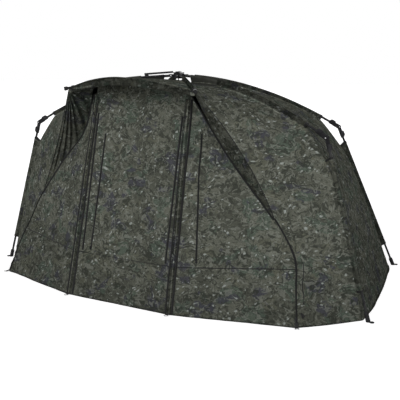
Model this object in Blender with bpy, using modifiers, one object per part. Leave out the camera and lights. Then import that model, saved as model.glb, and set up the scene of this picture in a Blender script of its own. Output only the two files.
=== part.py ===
# Folding-frame bivvy tent. Metres, +Z up, +X to the tent's right side seen from the front,
# the front panel faces -Y. The origin is on the ground at the middle of the footprint.
import math

import bmesh
import bpy
from mathutils import Matrix, Vector

# Overall layout
HALF_WIDTH = 1.300
DEPTH = 1.700
RISE = 1.257
MIDDLE_DEPTH_SHARE = 0.50497
HUB_DEPTH_SHARE = 0.379
BACK_FOOT_DEPTH_SHARE = 0.985

# Directions of the ribs round the hub, degrees from +X
SIDE_AZIMUTH = -7.5
BACK_AZIMUTH = 45.0
FRONT_AZIMUTH = -48.9

# Ribs: reach and drop of each kind, and how they arch
SIDE_KNUCKLE_SHARE = 0.787
SIDE_DROP = 0.312
BACK_KNUCKLE_SHARE = 0.713
BACK_DROP = 0.326
FRONT_REACH = 0.660
FRONT_DROP = 0.068
ARCH_POWER = 1.84
ROD_RADIUS = 0.0068
ROOF_END_SHARE = 0.885

# Clearances and cloth
GAP = 0.0003
SEAT = 0.0006
CLOTH = 0.0012
FLAT_SEAM = 0.0004
FOLD_SEAM = 0.0009
EDGE_SEAM = 0.0028
HEM_LIFT = 0.0010
OVERRUN = 0.004

# Hub
HUB_RADIUS = 0.030
HUB_LOW = 0.017
HUB_HIGH = 0.015
HUB_EDGE = 0.003
CAP_RADIUS = 0.034
CAP_HEIGHT = 0.009
CAP_KNOB_RADIUS = 0.020
CAP_RIM = 0.004
LUG_REACH = 0.058
LUG_THICKNESS = 0.004
LUG_HEIGHT = 0.016
PIN_RADIUS = 0.0025
PIN_LENGTH = 0.028
PIN_CLEARANCE = 0.0003
HUB_GAP = 0.044
SIDE_LIFT_OFF_SHARE = 0.40
FRONT_LIFT_OFF_SHARE = 0.60
PATCH_RADIUS = 0.028
PATCH_LAP = 0.010
HOOK_RADIUS = 0.003

# Struts over the front ribs
STRUT_WIDTH = 0.013
STRUT_THICKNESS = 0.011
BRACKET_REACH = 0.195
BRACKET_RADIUS = 0.0093
BRACKET_LENGTH = 0.024
BRACKET_PAD = 0.012

# Knuckles, legs and feet
EAR_THICKNESS = 0.004
EAR_WIDTH = 0.024
TONGUE_THICKNESS = 0.008
SOCKET_RADIUS = 0.0115
SOCKET_START = 0.040
SOCKET_LENGTH = 0.032
LEG_JOIN = 0.105
JOIN_CLEAR = 0.028
JOIN_CLEAR_POWER = 12
FOOT_RADIUS = 0.0120
FOOT_LENGTH = 0.050
FOOT_BORE_DEPTH = 0.028
FOOT_CLEAR = 0.024
FOOT_CLEAR_POWER = 3
EYE_RADIUS = 0.013
EYE_HOLE_RADIUS = 0.006
EYE_THICKNESS = 0.004
BLADE_INSET = 0.0018

# Peak
CORNER_CAP_RADIUS = 0.0115
CORNER_CAP_LENGTH = 0.020
BOW_RADIUS = 0.003
BOW_RISE = 0.0736
BOW_FORWARD = 0.1045
BOW_POWER = 1.7
BOW_PARTS = 24
BOW_HALVINGS = 20
BRIM_DEPTH = 0.042
BRIM_SET_BACK = 0.012

# Front panel and its storm poles
POLE_TOP_SHARES = (0.2446, 0.1588, 0.9182)
POLE_FOOT_SHARES = (0.2823, 0.0088, 0.0)
POLE_STAND_OFF = 0.0175
POLE_INSET = 0.012
DOOR_WIDTH_SHARE = 0.2192
DOOR_TOP_SHARE = 0.8313
SEAM_HEIGHT_SHARE = 0.1989
HEADER_TOP_SHARE = 0.9348
HEADER_RISE = 0.035
POLE_RADIUS = 0.0095
POLE_BORE = 0.0078
POLE_INNER_RADIUS = 0.0074
POLE_UPPER_LENGTH = 0.640
POLE_OVERLAP = 0.120
COLLAR_RADIUS = 0.0135
COLLAR_LENGTH = 0.034
POLE_FOOT_RADIUS = 0.0120
POLE_FOOT_LENGTH = 0.045
CLIP_HEIGHT = 0.020
CLIP_EAR_WIDTH = 0.018

# Zips
TAPE_WIDTH = 0.014
SLIDER_HEIGHT_SHARE = 0.7049
SLIDER_WIDTH = 0.012
SLIDER_LENGTH = 0.020
SLIDER_THICKNESS = 0.005
PULL_WIDTH = 0.006
PULL_LENGTH = 0.030
PULL_THICKNESS = 0.0018

# Zip line down the edge of the front panel, from the pole's head to the front corner:
# shares of half the width, of the depth and of the rise
ZIP_LINE_SHARES = (
    (0.2646, 0.1588, 0.9182),
    (0.3685, 0.1918, 0.7260),
    (0.4810, 0.1820, 0.5943),
    (0.6320, 0.1865, 0.4137),
    (0.7120, 0.1880, 0.2853),
    (0.7380, 0.1740, 0.2169),
    (0.7530, 0.1510, 0.1525),
    (0.7850, 0.1120, 0.0),
)
ZIP_STEPS = 3
TIP_POINT = 3
SEAM_POINT = 5

# The free front edge of the side wall bows off its chord, shares of that chord
EDGE_BOW_SHARES = (0.022, 0.055, 0.012)

# The hem between two feet is pegged out a little past the straight line
HEM_BULGE = 0.022
HEM_BULGE_POWER = 2

# Pleats of the side curtains
PLEATS = 7
PLEAT_DEPTH = 0.008
PLEAT_POINTS = 4
CURTAIN_ROWS = 7
CURTAIN_START_SHARE = 0.14

SIDES = {"left": -1, "right": 1}
TAU = math.radians(360)
PADDLE_STEPS = 12


def clear_scene():
    for old in list(bpy.data.objects):
        bpy.data.objects.remove(old, do_unlink=True)


def collection(name):
    group = bpy.data.collections.new(name)
    bpy.context.scene.collection.children.link(group)
    return group


clear_scene()
TENT = collection("bivvy_tent")
CUTTERS = collection("cutters")


def material(name, colour, roughness, metallic=0.0):
    made = bpy.data.materials.new(name)
    made.use_nodes = True
    shader = made.node_tree.nodes["Principled BSDF"]
    shader.inputs["Base Color"].default_value = (*colour, 1.0)
    shader.inputs["Roughness"].default_value = roughness
    shader.inputs["Metallic"].default_value = metallic
    return made


CAMO = (0.075, 0.080, 0.065)
BLACK = (0.012, 0.012, 0.012)
DARK_CLOTH = (0.028, 0.029, 0.026)


# Places

def place(across_share, depth_share, height_share):
    return Vector((across_share * HALF_WIDTH, (depth_share - MIDDLE_DEPTH_SHARE) * DEPTH, height_share * RISE))


def mirrored(point, side):
    return Vector((point.x * side, point.y, point.z))


HUB = place(0, HUB_DEPTH_SHARE, 1)
DOOR_HALF_WIDTH = DOOR_WIDTH_SHARE * HALF_WIDTH
DOOR_TOP = DOOR_TOP_SHARE * RISE
SEAM_HEIGHT = SEAM_HEIGHT_SHARE * RISE
HEADER_TOP = HEADER_TOP_SHARE * RISE
SLIDER_HEIGHT = SLIDER_HEIGHT_SHARE * RISE
SIDE_FOOT_REACH = HALF_WIDTH / math.cos(math.radians(SIDE_AZIMUTH))
BACK_FOOT_REACH = DEPTH * (BACK_FOOT_DEPTH_SHARE - HUB_DEPTH_SHARE) / math.sin(math.radians(BACK_AZIMUTH))

# Each kind of rib: direction, reach, drop, reach of its foot (0 for none), where the cloth meets it
RIBS = {
    "side": (SIDE_AZIMUTH, SIDE_KNUCKLE_SHARE * SIDE_FOOT_REACH, SIDE_DROP, SIDE_FOOT_REACH, SIDE_LIFT_OFF_SHARE),
    "back": (BACK_AZIMUTH, BACK_KNUCKLE_SHARE * BACK_FOOT_REACH, BACK_DROP, BACK_FOOT_REACH, SIDE_LIFT_OFF_SHARE),
    "front": (FRONT_AZIMUTH, FRONT_REACH, FRONT_DROP, 0, FRONT_LIFT_OFF_SHARE),
}
SKIN_DROP = ROD_RADIUS + SEAT + CLOTH / 2


def outward(kind, side):
    angle = math.radians(RIBS[kind][0])
    return Vector((side * math.cos(angle), math.sin(angle), 0))


def rib_point(kind, side, share):
    """A point of a rib's centre line, at a share of its reach."""
    reach, drop = RIBS[kind][1], RIBS[kind][2]
    level = HUB.z - drop * share ** ARCH_POWER
    return Vector((HUB.x, HUB.y, level)) + outward(kind, side) * reach * share


def rib_slope(kind, side, share):
    step = 1 / 1024
    return (rib_point(kind, side, share + step) - rib_point(kind, side, share - step)).normalized()


def inward_normal(direction, radial):
    """The normal of a line in a rib's upright plane, on the side of the tent's inside."""
    across = radial.cross(Vector((0, 0, 1)))
    normal = direction.cross(across).normalized()
    return normal if normal.z < 0 else -normal


def knuckle(kind, side):
    return rib_point(kind, side, 1)


def foot(kind, side):
    return Vector((HUB.x, HUB.y, 0)) + outward(kind, side) * RIBS[kind][3]


def leg_direction(kind, side):
    return (foot(kind, side) - knuckle(kind, side)).normalized()


def roof_skin(kind, side, share):
    """Where the roof cloth runs, under a rib and level near the hub."""
    lift_off = RIBS[kind][4]
    slope = rib_slope(kind, side, max(share, 1 / 64))
    point = rib_point(kind, side, share) + inward_normal(slope, outward(kind, side)) * SKIN_DROP
    if share < lift_off:
        point.z -= HUB_GAP * (1 - share / lift_off) ** 2
    return point


def leg_skin(kind, side, share):
    """Where the wall cloth runs, inside a leg, from the eave (0) to the ground (1)."""
    start = roof_skin(kind, side, ROOF_END_SHARE)
    top, bottom = knuckle(kind, side), foot(kind, side)
    direction = leg_direction(kind, side)
    inside = inward_normal(direction, outward(kind, side))
    join = top + direction * LEG_JOIN + inside * (SKIN_DROP + JOIN_CLEAR)
    join_share = (start.z - join.z) / start.z
    if share <= join_share:
        return start.lerp(join, share / join_share)
    down = (share - join_share) / (1 - join_share)
    clear = JOIN_CLEAR * (1 - down) ** JOIN_CLEAR_POWER
    point = (top + direction * LEG_JOIN).lerp(bottom, down) + inside * (SKIN_DROP + clear)
    point -= outward(kind, side) * FOOT_CLEAR * down ** FOOT_CLEAR_POWER
    point.z = max(point.z, HEM_LIFT)
    return point


def smooth_line(points, steps):
    """A Catmull-Rom curve through the points, with this many steps between neighbours."""
    padded = [2 * points[0] - points[1], *points, 2 * points[-1] - points[-2]]
    line = [points[0]]
    for a, b, c, d in zip(padded, padded[1:], padded[2:], padded[3:]):
        for step in range(1, steps + 1):
            t = step / steps
            line.append(0.5 * (2 * b + (c - a) * t + (2 * a - 5 * b + 4 * c - d) * t ** 2
                               + (3 * b - a - 3 * c + d) * t ** 3))
    return line


# Helpers for solids

def add(name, mesh, look, group=None):
    body = bpy.data.objects.new(name, mesh)
    body.data.materials.clear()
    if look:
        body.data.materials.append(look)
    (group or TENT).objects.link(body)
    return body


def frame_at(centre, z_axis, x_hint):
    z_axis = z_axis.normalized()
    x_axis = (x_hint - z_axis * x_hint.dot(z_axis)).normalized()
    y_axis = z_axis.cross(x_axis)
    turn = Matrix((x_axis, y_axis, z_axis)).transposed().to_4x4()
    return Matrix.Translation(centre) @ turn


UP = Vector((0, 0, 1))
ACROSS = Vector((1, 0, 0))


def any_side(direction):
    return ACROSS if abs(direction.normalized().x) < 0.7 else UP


def tool_mesh(name, build):
    made = bmesh.new()
    build(made)
    mesh = bpy.data.meshes.new(name)
    made.to_mesh(mesh)
    made.free()
    return mesh


def cylinder(name, start, end, radius, sides=16, look=None, group=None):
    along = end - start
    matrix = frame_at((start + end) / 2, along, any_side(along))
    mesh = tool_mesh(name, lambda made: bmesh.ops.create_cone(
        made, cap_ends=True, segments=sides, radius1=radius, radius2=radius,
        depth=along.length, matrix=matrix))
    return add(name, mesh, look, group)


def block(name, centre, size, z_axis, x_axis, look=None, group=None):
    matrix = frame_at(centre, z_axis, x_axis) @ Matrix.Diagonal((*size, 1))
    mesh = tool_mesh(name, lambda made: bmesh.ops.create_cube(made, size=1, matrix=matrix))
    return add(name, mesh, look, group)


def paddle(name, pin_point, toward, axis, reach, width, thickness):
    """A flat plate with a round end about a pin; toward runs from the pin along the plate."""
    across = axis.cross(toward).normalized()
    half = width / 2
    outline = [toward * reach + across * half]
    for step in range(PADDLE_STEPS + 1):
        turn = TAU / 4 + TAU / 2 * step / PADDLE_STEPS
        outline.append((toward * math.cos(turn) + across * math.sin(turn)) * half)
    outline.append(toward * reach - across * half)
    count = len(outline)
    points = [pin_point + spot + axis * way * thickness / 2 for way in (-1, 1) for spot in outline]
    faces = [tuple(range(count)), tuple(range(count, 2 * count))]
    faces += [(i, (i + 1) % count, (i + 1) % count + count, i + count) for i in range(count)]
    mesh = bpy.data.meshes.new(name)
    mesh.from_pydata(points, [], faces)
    made = bmesh.new()
    made.from_mesh(mesh)
    bmesh.ops.recalc_face_normals(made, faces=made.faces)
    made.to_mesh(mesh)
    made.free()
    return add(name, mesh, None)


def bake(body):
    """Replace an object's mesh by what its modifiers make of it."""
    bpy.context.view_layer.update()
    evaluated = body.evaluated_get(bpy.context.evaluated_depsgraph_get())
    mesh = bpy.data.meshes.new_from_object(evaluated)
    body.modifiers.clear()
    body.data = mesh
    return body


def combine(target, tools, operation):
    """Boolean of a target with several tools, which are used up."""
    for tool in tools:
        change = target.modifiers.new(operation.lower(), "BOOLEAN")
        change.operation = operation
        change.object = tool
        bake(target)
        bpy.data.objects.remove(tool, do_unlink=True)
    return target


def finish(body):
    body.data.shade_smooth()
    body.data.set_sharp_from_angle(angle=math.radians(35))
    return body


def rod(name, points, radius, look, group=None):
    """A round rod along a line of points."""
    curve = bpy.data.curves.new(name, "CURVE")
    curve.dimensions = "3D"
    curve.bevel_depth = radius
    curve.bevel_resolution = 2
    curve.use_fill_caps = True
    line = curve.splines.new("POLY")
    line.points.add(len(points) - 1)
    for knot, point in zip(line.points, points):
        knot.co = (*point, 1)
    guide = add(name + "_curve", curve, look, group)
    bpy.context.view_layer.update()
    evaluated = guide.evaluated_get(bpy.context.evaluated_depsgraph_get())
    mesh = bpy.data.meshes.new_from_object(evaluated)
    bpy.data.objects.remove(guide, do_unlink=True)
    made = bmesh.new()
    made.from_mesh(mesh)
    bmesh.ops.remove_doubles(made, verts=made.verts, dist=0.00001)
    made.to_mesh(mesh)
    made.free()
    return finish(add(name, mesh, look, group))


def turned(name, profile, look, closed=False, steps=20):
    """A turned solid about Z from (radius, height) points that run down its outer side."""
    mesh = bpy.data.meshes.new(name)
    edges = [(i, i + 1) for i in range(len(profile) - 1)]
    if closed:
        edges.append((len(profile) - 1, 0))
    mesh.from_pydata([(radius, 0, height) for radius, height in profile], edges, [])
    body = add(name, mesh, look)
    screw = body.modifiers.new("turn", "SCREW")
    screw.steps = steps
    screw.render_steps = steps
    screw.use_merge_vertices = True
    screw.merge_threshold = 0.00001
    return finish(bake(body))


def skin(name, rows, look):
    """Cloth over a grid of points, with its own thickness."""
    across = len(rows[0])
    points = [point for row in rows for point in row]
    faces = []
    for j in range(len(rows) - 1):
        for i in range(across - 1):
            corner = j * across + i
            faces.append((corner, corner + 1, corner + across + 1, corner + across))
    mesh = bpy.data.meshes.new(name)
    mesh.from_pydata(points, [], faces)
    body = add(name, mesh, look)
    shell = body.modifiers.new("cloth", "SOLIDIFY")
    shell.thickness = CLOTH
    shell.offset = 0
    shell.use_even_offset = True
    return finish(bake(body))


def between(first, last, count, first_seam, last_seam):
    """Points from one edge to the other, kept back from both by the seams."""
    along = (last - first).normalized()
    a = first + along * first_seam
    b = last - along * last_seam
    return [a.lerp(b, i / count) for i in range(count + 1)]


def trimmed(rows, first_seam, last_seam):
    """Keep the first and last rows back from their seams."""
    top = [a + (b - a).normalized() * first_seam for a, b in zip(rows[0], rows[1])]
    bottom = [a + (b - a).normalized() * last_seam for a, b in zip(rows[-1], rows[-2])]
    return [top, *rows[1:-1], bottom]


# Materials

alloy = material("black_anodised_alloy", BLACK, 0.45, 0.6)
moulding = material("black_moulding", BLACK, 0.55)
camo = material("camo_cloth", CAMO, 0.85)
dark_cloth = material("dark_cloth", DARK_CLOTH, 0.9)


# Hub

def hub():
    low, high = HUB.z - HUB_LOW, HUB.z + HUB_HIGH
    body = turned("hub_body", [
        (0, high), (HUB_RADIUS - HUB_EDGE, high), (HUB_RADIUS, high - HUB_EDGE),
        (HUB_RADIUS, low + HUB_EDGE), (HUB_RADIUS - HUB_EDGE, low), (0, low)], moulding)
    body.data.transform(Matrix.Translation((HUB.x, HUB.y, 0)))
    slot = ROD_RADIUS + GAP
    lugs = []
    for kind in RIBS:
        for side in SIDES.values():
            radial = outward(kind, side)
            tangent = radial.cross(UP)
            for way in (-1, 1):
                inner = HUB_RADIUS - OVERRUN
                centre = HUB + radial * (inner + LUG_REACH) / 2 + tangent * way * (slot + LUG_THICKNESS / 2)
                size = (LUG_REACH - inner, LUG_THICKNESS, LUG_HEIGHT)
                lugs.append(block("lug", centre, size, UP, radial))
            lugs.append(pin(hub_pin(kind, side), tangent))
    finish(combine(body, lugs, "UNION"))
    rim, top = high + GAP, high + GAP + CAP_HEIGHT
    cap = turned("hub_cap", [
        (0, top), (CAP_KNOB_RADIUS - HUB_EDGE, top), (CAP_KNOB_RADIUS, top - HUB_EDGE),
        (CAP_KNOB_RADIUS, rim + CAP_RIM), (CAP_RADIUS, rim + CAP_RIM), (CAP_RADIUS, rim), (0, rim)], moulding)
    cap.data.transform(Matrix.Translation((HUB.x, HUB.y, 0)))


def hub_pin(kind, side):
    return HUB + outward(kind, side) * (LUG_REACH - LUG_HEIGHT / 2)


def pin_cutter(centre, axis):
    reach = axis.normalized() * (PIN_LENGTH / 2 + OVERRUN)
    return cylinder("pin_hole", centre - reach, centre + reach, PIN_RADIUS + PIN_CLEARANCE)


def pin(centre, axis):
    reach = axis.normalized() * PIN_LENGTH / 2
    return cylinder("pin", centre - reach, centre + reach, PIN_RADIUS)


# Ribs: from inside the hub's lugs to the knuckle's socket or the corner cap

RIB_ROWS = [i / 9 for i in range(10)]


def rib_shares(kind):
    """The shares of a rib at which it and the cloth under it bend."""
    start = PATCH_RADIUS / RIBS[kind][1]
    end = ROOF_END_SHARE if kind != "front" else 1
    return [start + (end - start) * row for row in RIB_ROWS]


def bracket_shares(kind):
    """The shares of a rib just before and just after a strut's clamp."""
    reach = RIBS[kind][1]
    return [(BRACKET_REACH + way * BRACKET_LENGTH) / reach for way in (-1, 1)]


def ribs():
    for kind, (azimuth, reach, drop, foot_reach, lift_off) in RIBS.items():
        for word, side in SIDES.items():
            start = (HUB_RADIUS + GAP) / reach
            shares = [share for share in rib_shares(kind) if share > start * 2]
            if not foot_reach:
                shares = sorted([*shares, *bracket_shares(kind)])
            shares = [start, *shares]
            points = [rib_point(kind, side, share) for share in shares]
            if foot_reach:
                pin_point = knuckle(kind, side)
                back = (points[-1] - pin_point).normalized()
                points.append(pin_point + back * (SOCKET_START + OVERRUN + GAP))
            else:
                points.append(corner(side) + rib_slope(kind, side, 1) * OVERRUN * 2)
            body = rod(kind + "_rib_" + word, points, ROD_RADIUS, alloy)
            if not foot_reach:
                combine(body, [corner_cap(side)], "UNION")
            combine(body, [pin_cutter(hub_pin(kind, side), outward(kind, side).cross(UP))], "DIFFERENCE")
            finish(body)


def struts():
    """Flat bars from the hub's cap to clamps round the front ribs."""
    for word, side in SIDES.items():
        before, after = [rib_point("front", side, share) for share in bracket_shares("front")]
        centre = (before + after) / 2
        along = (after - before).normalized()
        radial = outward("front", side)
        top = -inward_normal(along, radial)
        ring = cylinder("ring", centre - along * BRACKET_LENGTH / 2, centre + along * BRACKET_LENGTH / 2,
                        BRACKET_RADIUS)
        pad_top = BRACKET_RADIUS + BRACKET_PAD
        pad_size = (BRACKET_LENGTH - 2 * BLADE_INSET, STRUT_WIDTH - 2 * BLADE_INSET, pad_top)
        pad = block("pad", centre + top * pad_top / 2, pad_size, top, along)
        outer = centre + top * pad_top
        level = HUB.z + HUB_HIGH + GAP + CAP_RIM / 2
        inner = Vector((HUB.x, HUB.y, level)) + radial * (CAP_RADIUS + GAP)
        run = outer - inner
        inner += run.normalized() * STRUT_THICKNESS * abs(run.normalized().z)
        end = outer + run.normalized() * BRACKET_LENGTH / 2
        size = ((end - inner).length, STRUT_WIDTH, STRUT_THICKNESS)
        bar = block("strut_front_" + word, (inner + end) / 2, size, top, run, alloy)
        combine(bar, [ring, pad], "UNION")
        bore = cylinder("bore", centre - along * (BRACKET_LENGTH / 2 + OVERRUN),
                        centre + along * (BRACKET_LENGTH / 2 + OVERRUN), ROD_RADIUS + GAP)
        finish(combine(bar, [bore], "DIFFERENCE"))


# Knuckles: a fork on the rib, a tongue on the leg

def fork(name, pin_point, toward, axis, rod_radius):
    """Two ears round a pin on a socket that holds a rod's end; toward runs from the pin to the rod."""
    start = pin_point + toward * SOCKET_START
    body = cylinder(name, start, start + toward * SOCKET_LENGTH, SOCKET_RADIUS)
    slot = TONGUE_THICKNESS / 2 + GAP
    ears = []
    for way in (-1, 1):
        shift = axis * way * (slot + EAR_THICKNESS / 2)
        ears.append(paddle("ear", pin_point + shift, toward, axis, SOCKET_START + OVERRUN / 2, EAR_WIDTH,
                           EAR_THICKNESS))
    combine(body, [*ears, pin(pin_point, axis)], "UNION")
    bore = cylinder("bore", start + toward * OVERRUN, start + toward * (SOCKET_LENGTH + OVERRUN), rod_radius + GAP)
    return combine(body, [bore], "DIFFERENCE")


def tongue(name, pin_point, toward, axis, rod_radius):
    start = pin_point + toward * SOCKET_START
    body = cylinder(name, start, start + toward * SOCKET_LENGTH, SOCKET_RADIUS)
    blade = paddle("blade", pin_point, toward, axis, SOCKET_START + OVERRUN / 2, EAR_WIDTH - 2 * BLADE_INSET,
                   TONGUE_THICKNESS)
    combine(body, [blade], "UNION")
    bore = cylinder("bore", start + toward * OVERRUN, start + toward * (SOCKET_LENGTH + OVERRUN), rod_radius + GAP)
    return combine(body, [bore, pin_cutter(pin_point, axis)], "DIFFERENCE")


def rib_end_direction(kind, side):
    return (rib_point(kind, side, rib_shares(kind)[-1]) - knuckle(kind, side)).normalized()


def knuckles():
    for kind in ("side", "back"):
        for word, side in SIDES.items():
            axis = outward(kind, side).cross(UP)
            finish(add_look(fork("rib_knuckle_" + kind + "_" + word, knuckle(kind, side),
                                 rib_end_direction(kind, side), axis, ROD_RADIUS), moulding))
            finish(add_look(tongue("leg_knuckle_" + kind + "_" + word, knuckle(kind, side),
                                   leg_direction(kind, side), axis, ROD_RADIUS), moulding))


def add_look(body, look):
    body.data.materials.clear()
    body.data.materials.append(look)
    return body


def ground_cutter():
    size = HALF_WIDTH * 4
    return block("ground", Vector((0, 0, -size / 2)), (size, size, size), UP, ACROSS, group=CUTTERS)


def leg_foot(name, tip, toward, radial):
    """A plug round a leg's end with an eye for a peg, cut flat on the ground; toward runs up the leg."""
    body = cylinder(name, tip - toward * FOOT_RADIUS, tip + toward * FOOT_LENGTH, FOOT_RADIUS, 20)
    eye = tip + radial * (FOOT_RADIUS + EYE_RADIUS - OVERRUN)
    disc = cylinder("eye", eye - UP * OVERRUN, eye + UP * EYE_THICKNESS, EYE_RADIUS, 20)
    combine(body, [disc], "UNION")
    hole = cylinder("eye_hole", eye - UP * OVERRUN * 2, eye + UP * (EYE_THICKNESS + OVERRUN), EYE_HOLE_RADIUS, 16)
    bore = cylinder("bore", tip + toward * (FOOT_LENGTH - FOOT_BORE_DEPTH),
                    tip + toward * (FOOT_LENGTH + OVERRUN), ROD_RADIUS + GAP)
    combine(body, [hole, bore, ground_cutter()], "DIFFERENCE")
    return finish(add_look(body, moulding))


def legs():
    for kind in ("side", "back"):
        for word, side in SIDES.items():
            down = leg_direction(kind, side)
            top = knuckle(kind, side) + down * (SOCKET_START + OVERRUN + GAP)
            tip = foot(kind, side)
            end = tip - down * (FOOT_LENGTH - FOOT_BORE_DEPTH + GAP)
            rod("leg_" + kind + "_" + word, [top, end], ROD_RADIUS, alloy)
            leg_foot("foot_" + kind + "_" + word, tip, -down, outward(kind, side))


# Peak: caps on the front ribs' ends and the bow between them

def corner(side):
    return rib_point("front", side, 1)


def bow_shift(across_share):
    """How far the bow stands off the chord between the corners."""
    swell = 1 - abs(across_share) ** BOW_POWER
    return Vector((0, -BOW_FORWARD * swell, BOW_RISE * swell))


def corner_cap(side):
    along = rib_slope("front", side, 1)
    start = corner(side) + along * OVERRUN
    return cylinder("cap", start, start + along * CORNER_CAP_LENGTH, CORNER_CAP_RADIUS)


def bow_point(across):
    """A point of the bow's centre line, just in front of the brim's edge."""
    ahead = CLOTH / 2 + SEAT + BOW_RADIUS
    edge = roof_skin("front", 1, 1)
    return Vector((across, edge.y - ahead, edge.z)) + bow_shift(across / edge.x)


def peak_bow():
    """A bow from one corner cap to the other."""
    axis = rib_slope("front", 1, 1)
    clear = CORNER_CAP_RADIUS + GAP + BOW_RADIUS * math.cos(math.radians(FRONT_AZIMUTH))
    low, high = 0, corner(1).x
    for _ in range(BOW_HALVINGS):
        half = (low + high) / 2
        away = bow_point(half) - corner(1)
        if (away - axis * away.dot(axis)).length > clear:
            low = half
        else:
            high = half
    rod("peak_bow", [bow_point(low * (2 * i / BOW_PARTS - 1)) for i in range(BOW_PARTS + 1)], BOW_RADIUS, moulding)


# Roof panels

def roof_rows(kind_a, side_a, kind_b, side_b, columns):
    rows = []
    for share_a, share_b in zip(rib_shares(kind_a), rib_shares(kind_b)):
        first = roof_skin(kind_a, side_a, share_a)
        last = roof_skin(kind_b, side_b, share_b)
        rows.append(between(first, last, columns, FOLD_SEAM, FOLD_SEAM))
    return rows


def roofs():
    for word, side in SIDES.items():
        skin("roof_side_" + word, trimmed(roof_rows("side", side, "back", side, 4), FLAT_SEAM, FLAT_SEAM), camo)
        skin("roof_shoulder_" + word, trimmed(roof_rows("front", side, "side", side, 4), FLAT_SEAM, FOLD_SEAM),
             camo)
    skin("roof_back", trimmed(roof_rows("back", -1, "back", 1, 6), FLAT_SEAM, FLAT_SEAM), camo)
    rows = roof_rows("front", -1, "front", 1, 12)
    bowed = []
    for row, part in zip(rows, RIB_ROWS):
        half = row[-1].x
        bowed.append([point + bow_shift(point.x / half) * part ** 2 for point in row])
    lip = []
    for point in bowed[-1]:
        deep = BRIM_DEPTH * (1 - (point.x / bowed[-1][-1].x) ** 2 / 2)
        lip.append(point + Vector((0, BRIM_SET_BACK * deep / BRIM_DEPTH, -deep)))
    skin("roof_front", trimmed([*bowed, lip], FLAT_SEAM, 0), camo)
    level = min(roof_skin(kind, 1, rib_shares(kind)[0]).z for kind in RIBS) - CLOTH - SEAT
    hook = cylinder("apex_hook", Vector((HUB.x, HUB.y, level - CLOTH / 2)),
                    Vector((HUB.x, HUB.y, level + CLOTH / 2)), PATCH_RADIUS + PATCH_LAP, 24, moulding)
    post = cylinder("post", Vector((HUB.x, HUB.y, level)), Vector((HUB.x, HUB.y, HUB.z - HUB_LOW - GAP)),
                    HOOK_RADIUS)
    finish(combine(hook, [post], "UNION"))


# Walls

WALL_SHARES = (0, 0.075, 0.15, 0.3, 0.5, 0.7, 0.85, 0.95, 1)


def wall_row(kind_a, side_a, kind_b, side_b, share, columns):
    """A level row of wall cloth from one leg to another, pegged out near the ground."""
    row = between(leg_skin(kind_a, side_a, share), leg_skin(kind_b, side_b, share), columns, FOLD_SEAM, FOLD_SEAM)
    away = (outward(kind_a, side_a) + outward(kind_b, side_b)).normalized()
    lower = HEM_BULGE * share ** HEM_BULGE_POWER
    return [point + away * lower * 4 * i * (columns - i) / columns ** 2 for i, point in enumerate(row)]


def front_edge(side):
    """The zip line, the side wall's free edge above its tip, and the shared corner points."""
    zip_points = [mirrored(place(*shares), side) for shares in ZIP_LINE_SHARES]
    zip_line = smooth_line(zip_points, ZIP_STEPS)
    apex = roof_skin("front", side, 1)
    tip = zip_line[TIP_POINT * ZIP_STEPS]
    chord = (tip - apex).length
    bow = Vector((EDGE_BOW_SHARES[0] * side, EDGE_BOW_SHARES[1], EDGE_BOW_SHARES[2])) * chord
    edge = []
    for row in range(CURTAIN_ROWS + 1):
        share = row / CURTAIN_ROWS
        edge.append(apex.lerp(tip, share) + bow * 4 * share * (1 - share))
    return zip_line, edge, apex, tip, bow


def walls():
    for word, side in SIDES.items():
        rows = [wall_row("side", side, "back", side, share, 4) for share in WALL_SHARES]
        skin("wall_side_" + word, trimmed(rows, FLAT_SEAM, 0), camo)
        zip_line, edge, apex, tip, bow = front_edge(side)
        free = [*edge, *zip_line[TIP_POINT * ZIP_STEPS + 1:]]
        rows = []
        for row, point in enumerate(free):
            share = 1 - max(point.z, HEM_LIFT) / apex.z
            first = Vector((point.x, point.y, max(point.z, HEM_LIFT)))
            last = leg_skin("side", side, share)
            rows.append(between(first, last, 4, EDGE_SEAM if row <= CURTAIN_ROWS else FOLD_SEAM, FOLD_SEAM))
        skin("wall_front_" + word, trimmed(rows, FOLD_SEAM, 0), camo)
    rows = [wall_row("back", -1, "back", 1, share, 6) for share in WALL_SHARES]
    skin("wall_back", trimmed(rows, FLAT_SEAM, 0), camo)


def curtains():
    """Pleated cloth that fans down from the peak's corner to the zip line."""
    count = PLEATS * PLEAT_POINTS
    for word, side in SIDES.items():
        zip_line, edge, apex, tip, bow = front_edge(side)
        upper = zip_line[:TIP_POINT * ZIP_STEPS + 1]
        normal = (upper[0] - apex).cross(tip - apex).normalized() * side
        rows = []
        for row in range(CURTAIN_ROWS + 1):
            share = CURTAIN_START_SHARE + (1 - CURTAIN_START_SHARE) * row / CURTAIN_ROWS
            line = []
            for i in range(count + 1):
                part = i / count
                knot = part * (len(upper) - 1)
                low = min(int(knot), len(upper) - 2)
                end = upper[low].lerp(upper[low + 1], knot - low)
                end = end + (apex - end).normalized() * FOLD_SEAM
                point = apex.lerp(end, share) + bow * 4 * share * (1 - share) * part ** 2
                fold = math.sin(TAU * PLEATS * part) * PLEAT_DEPTH * share * (1 - share ** 4)
                line.append(point + normal * fold)
            inner = (line[-2] - line[-1]).normalized()
            line[-1] = line[-1] + inner * FOLD_SEAM
            rows.append(line)
        skin("curtain_" + word, rows, dark_cloth)


# Front panel

POLE_TOP = place(*POLE_TOP_SHARES)
POLE_BOTTOM = place(*POLE_FOOT_SHARES)
PANEL_SLOPE = (POLE_TOP.y - POLE_BOTTOM.y) / (POLE_TOP.z - POLE_BOTTOM.z)
PANEL_UP = Vector((0, PANEL_SLOPE, 1)).normalized()
PANEL_IN = Vector((0, PANEL_UP.z, -PANEL_UP.y))


def on_panel(across, height):
    """A point of the flat middle of the front panel."""
    return Vector((across, POLE_BOTTOM.y + PANEL_SLOPE * height, height))


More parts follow.
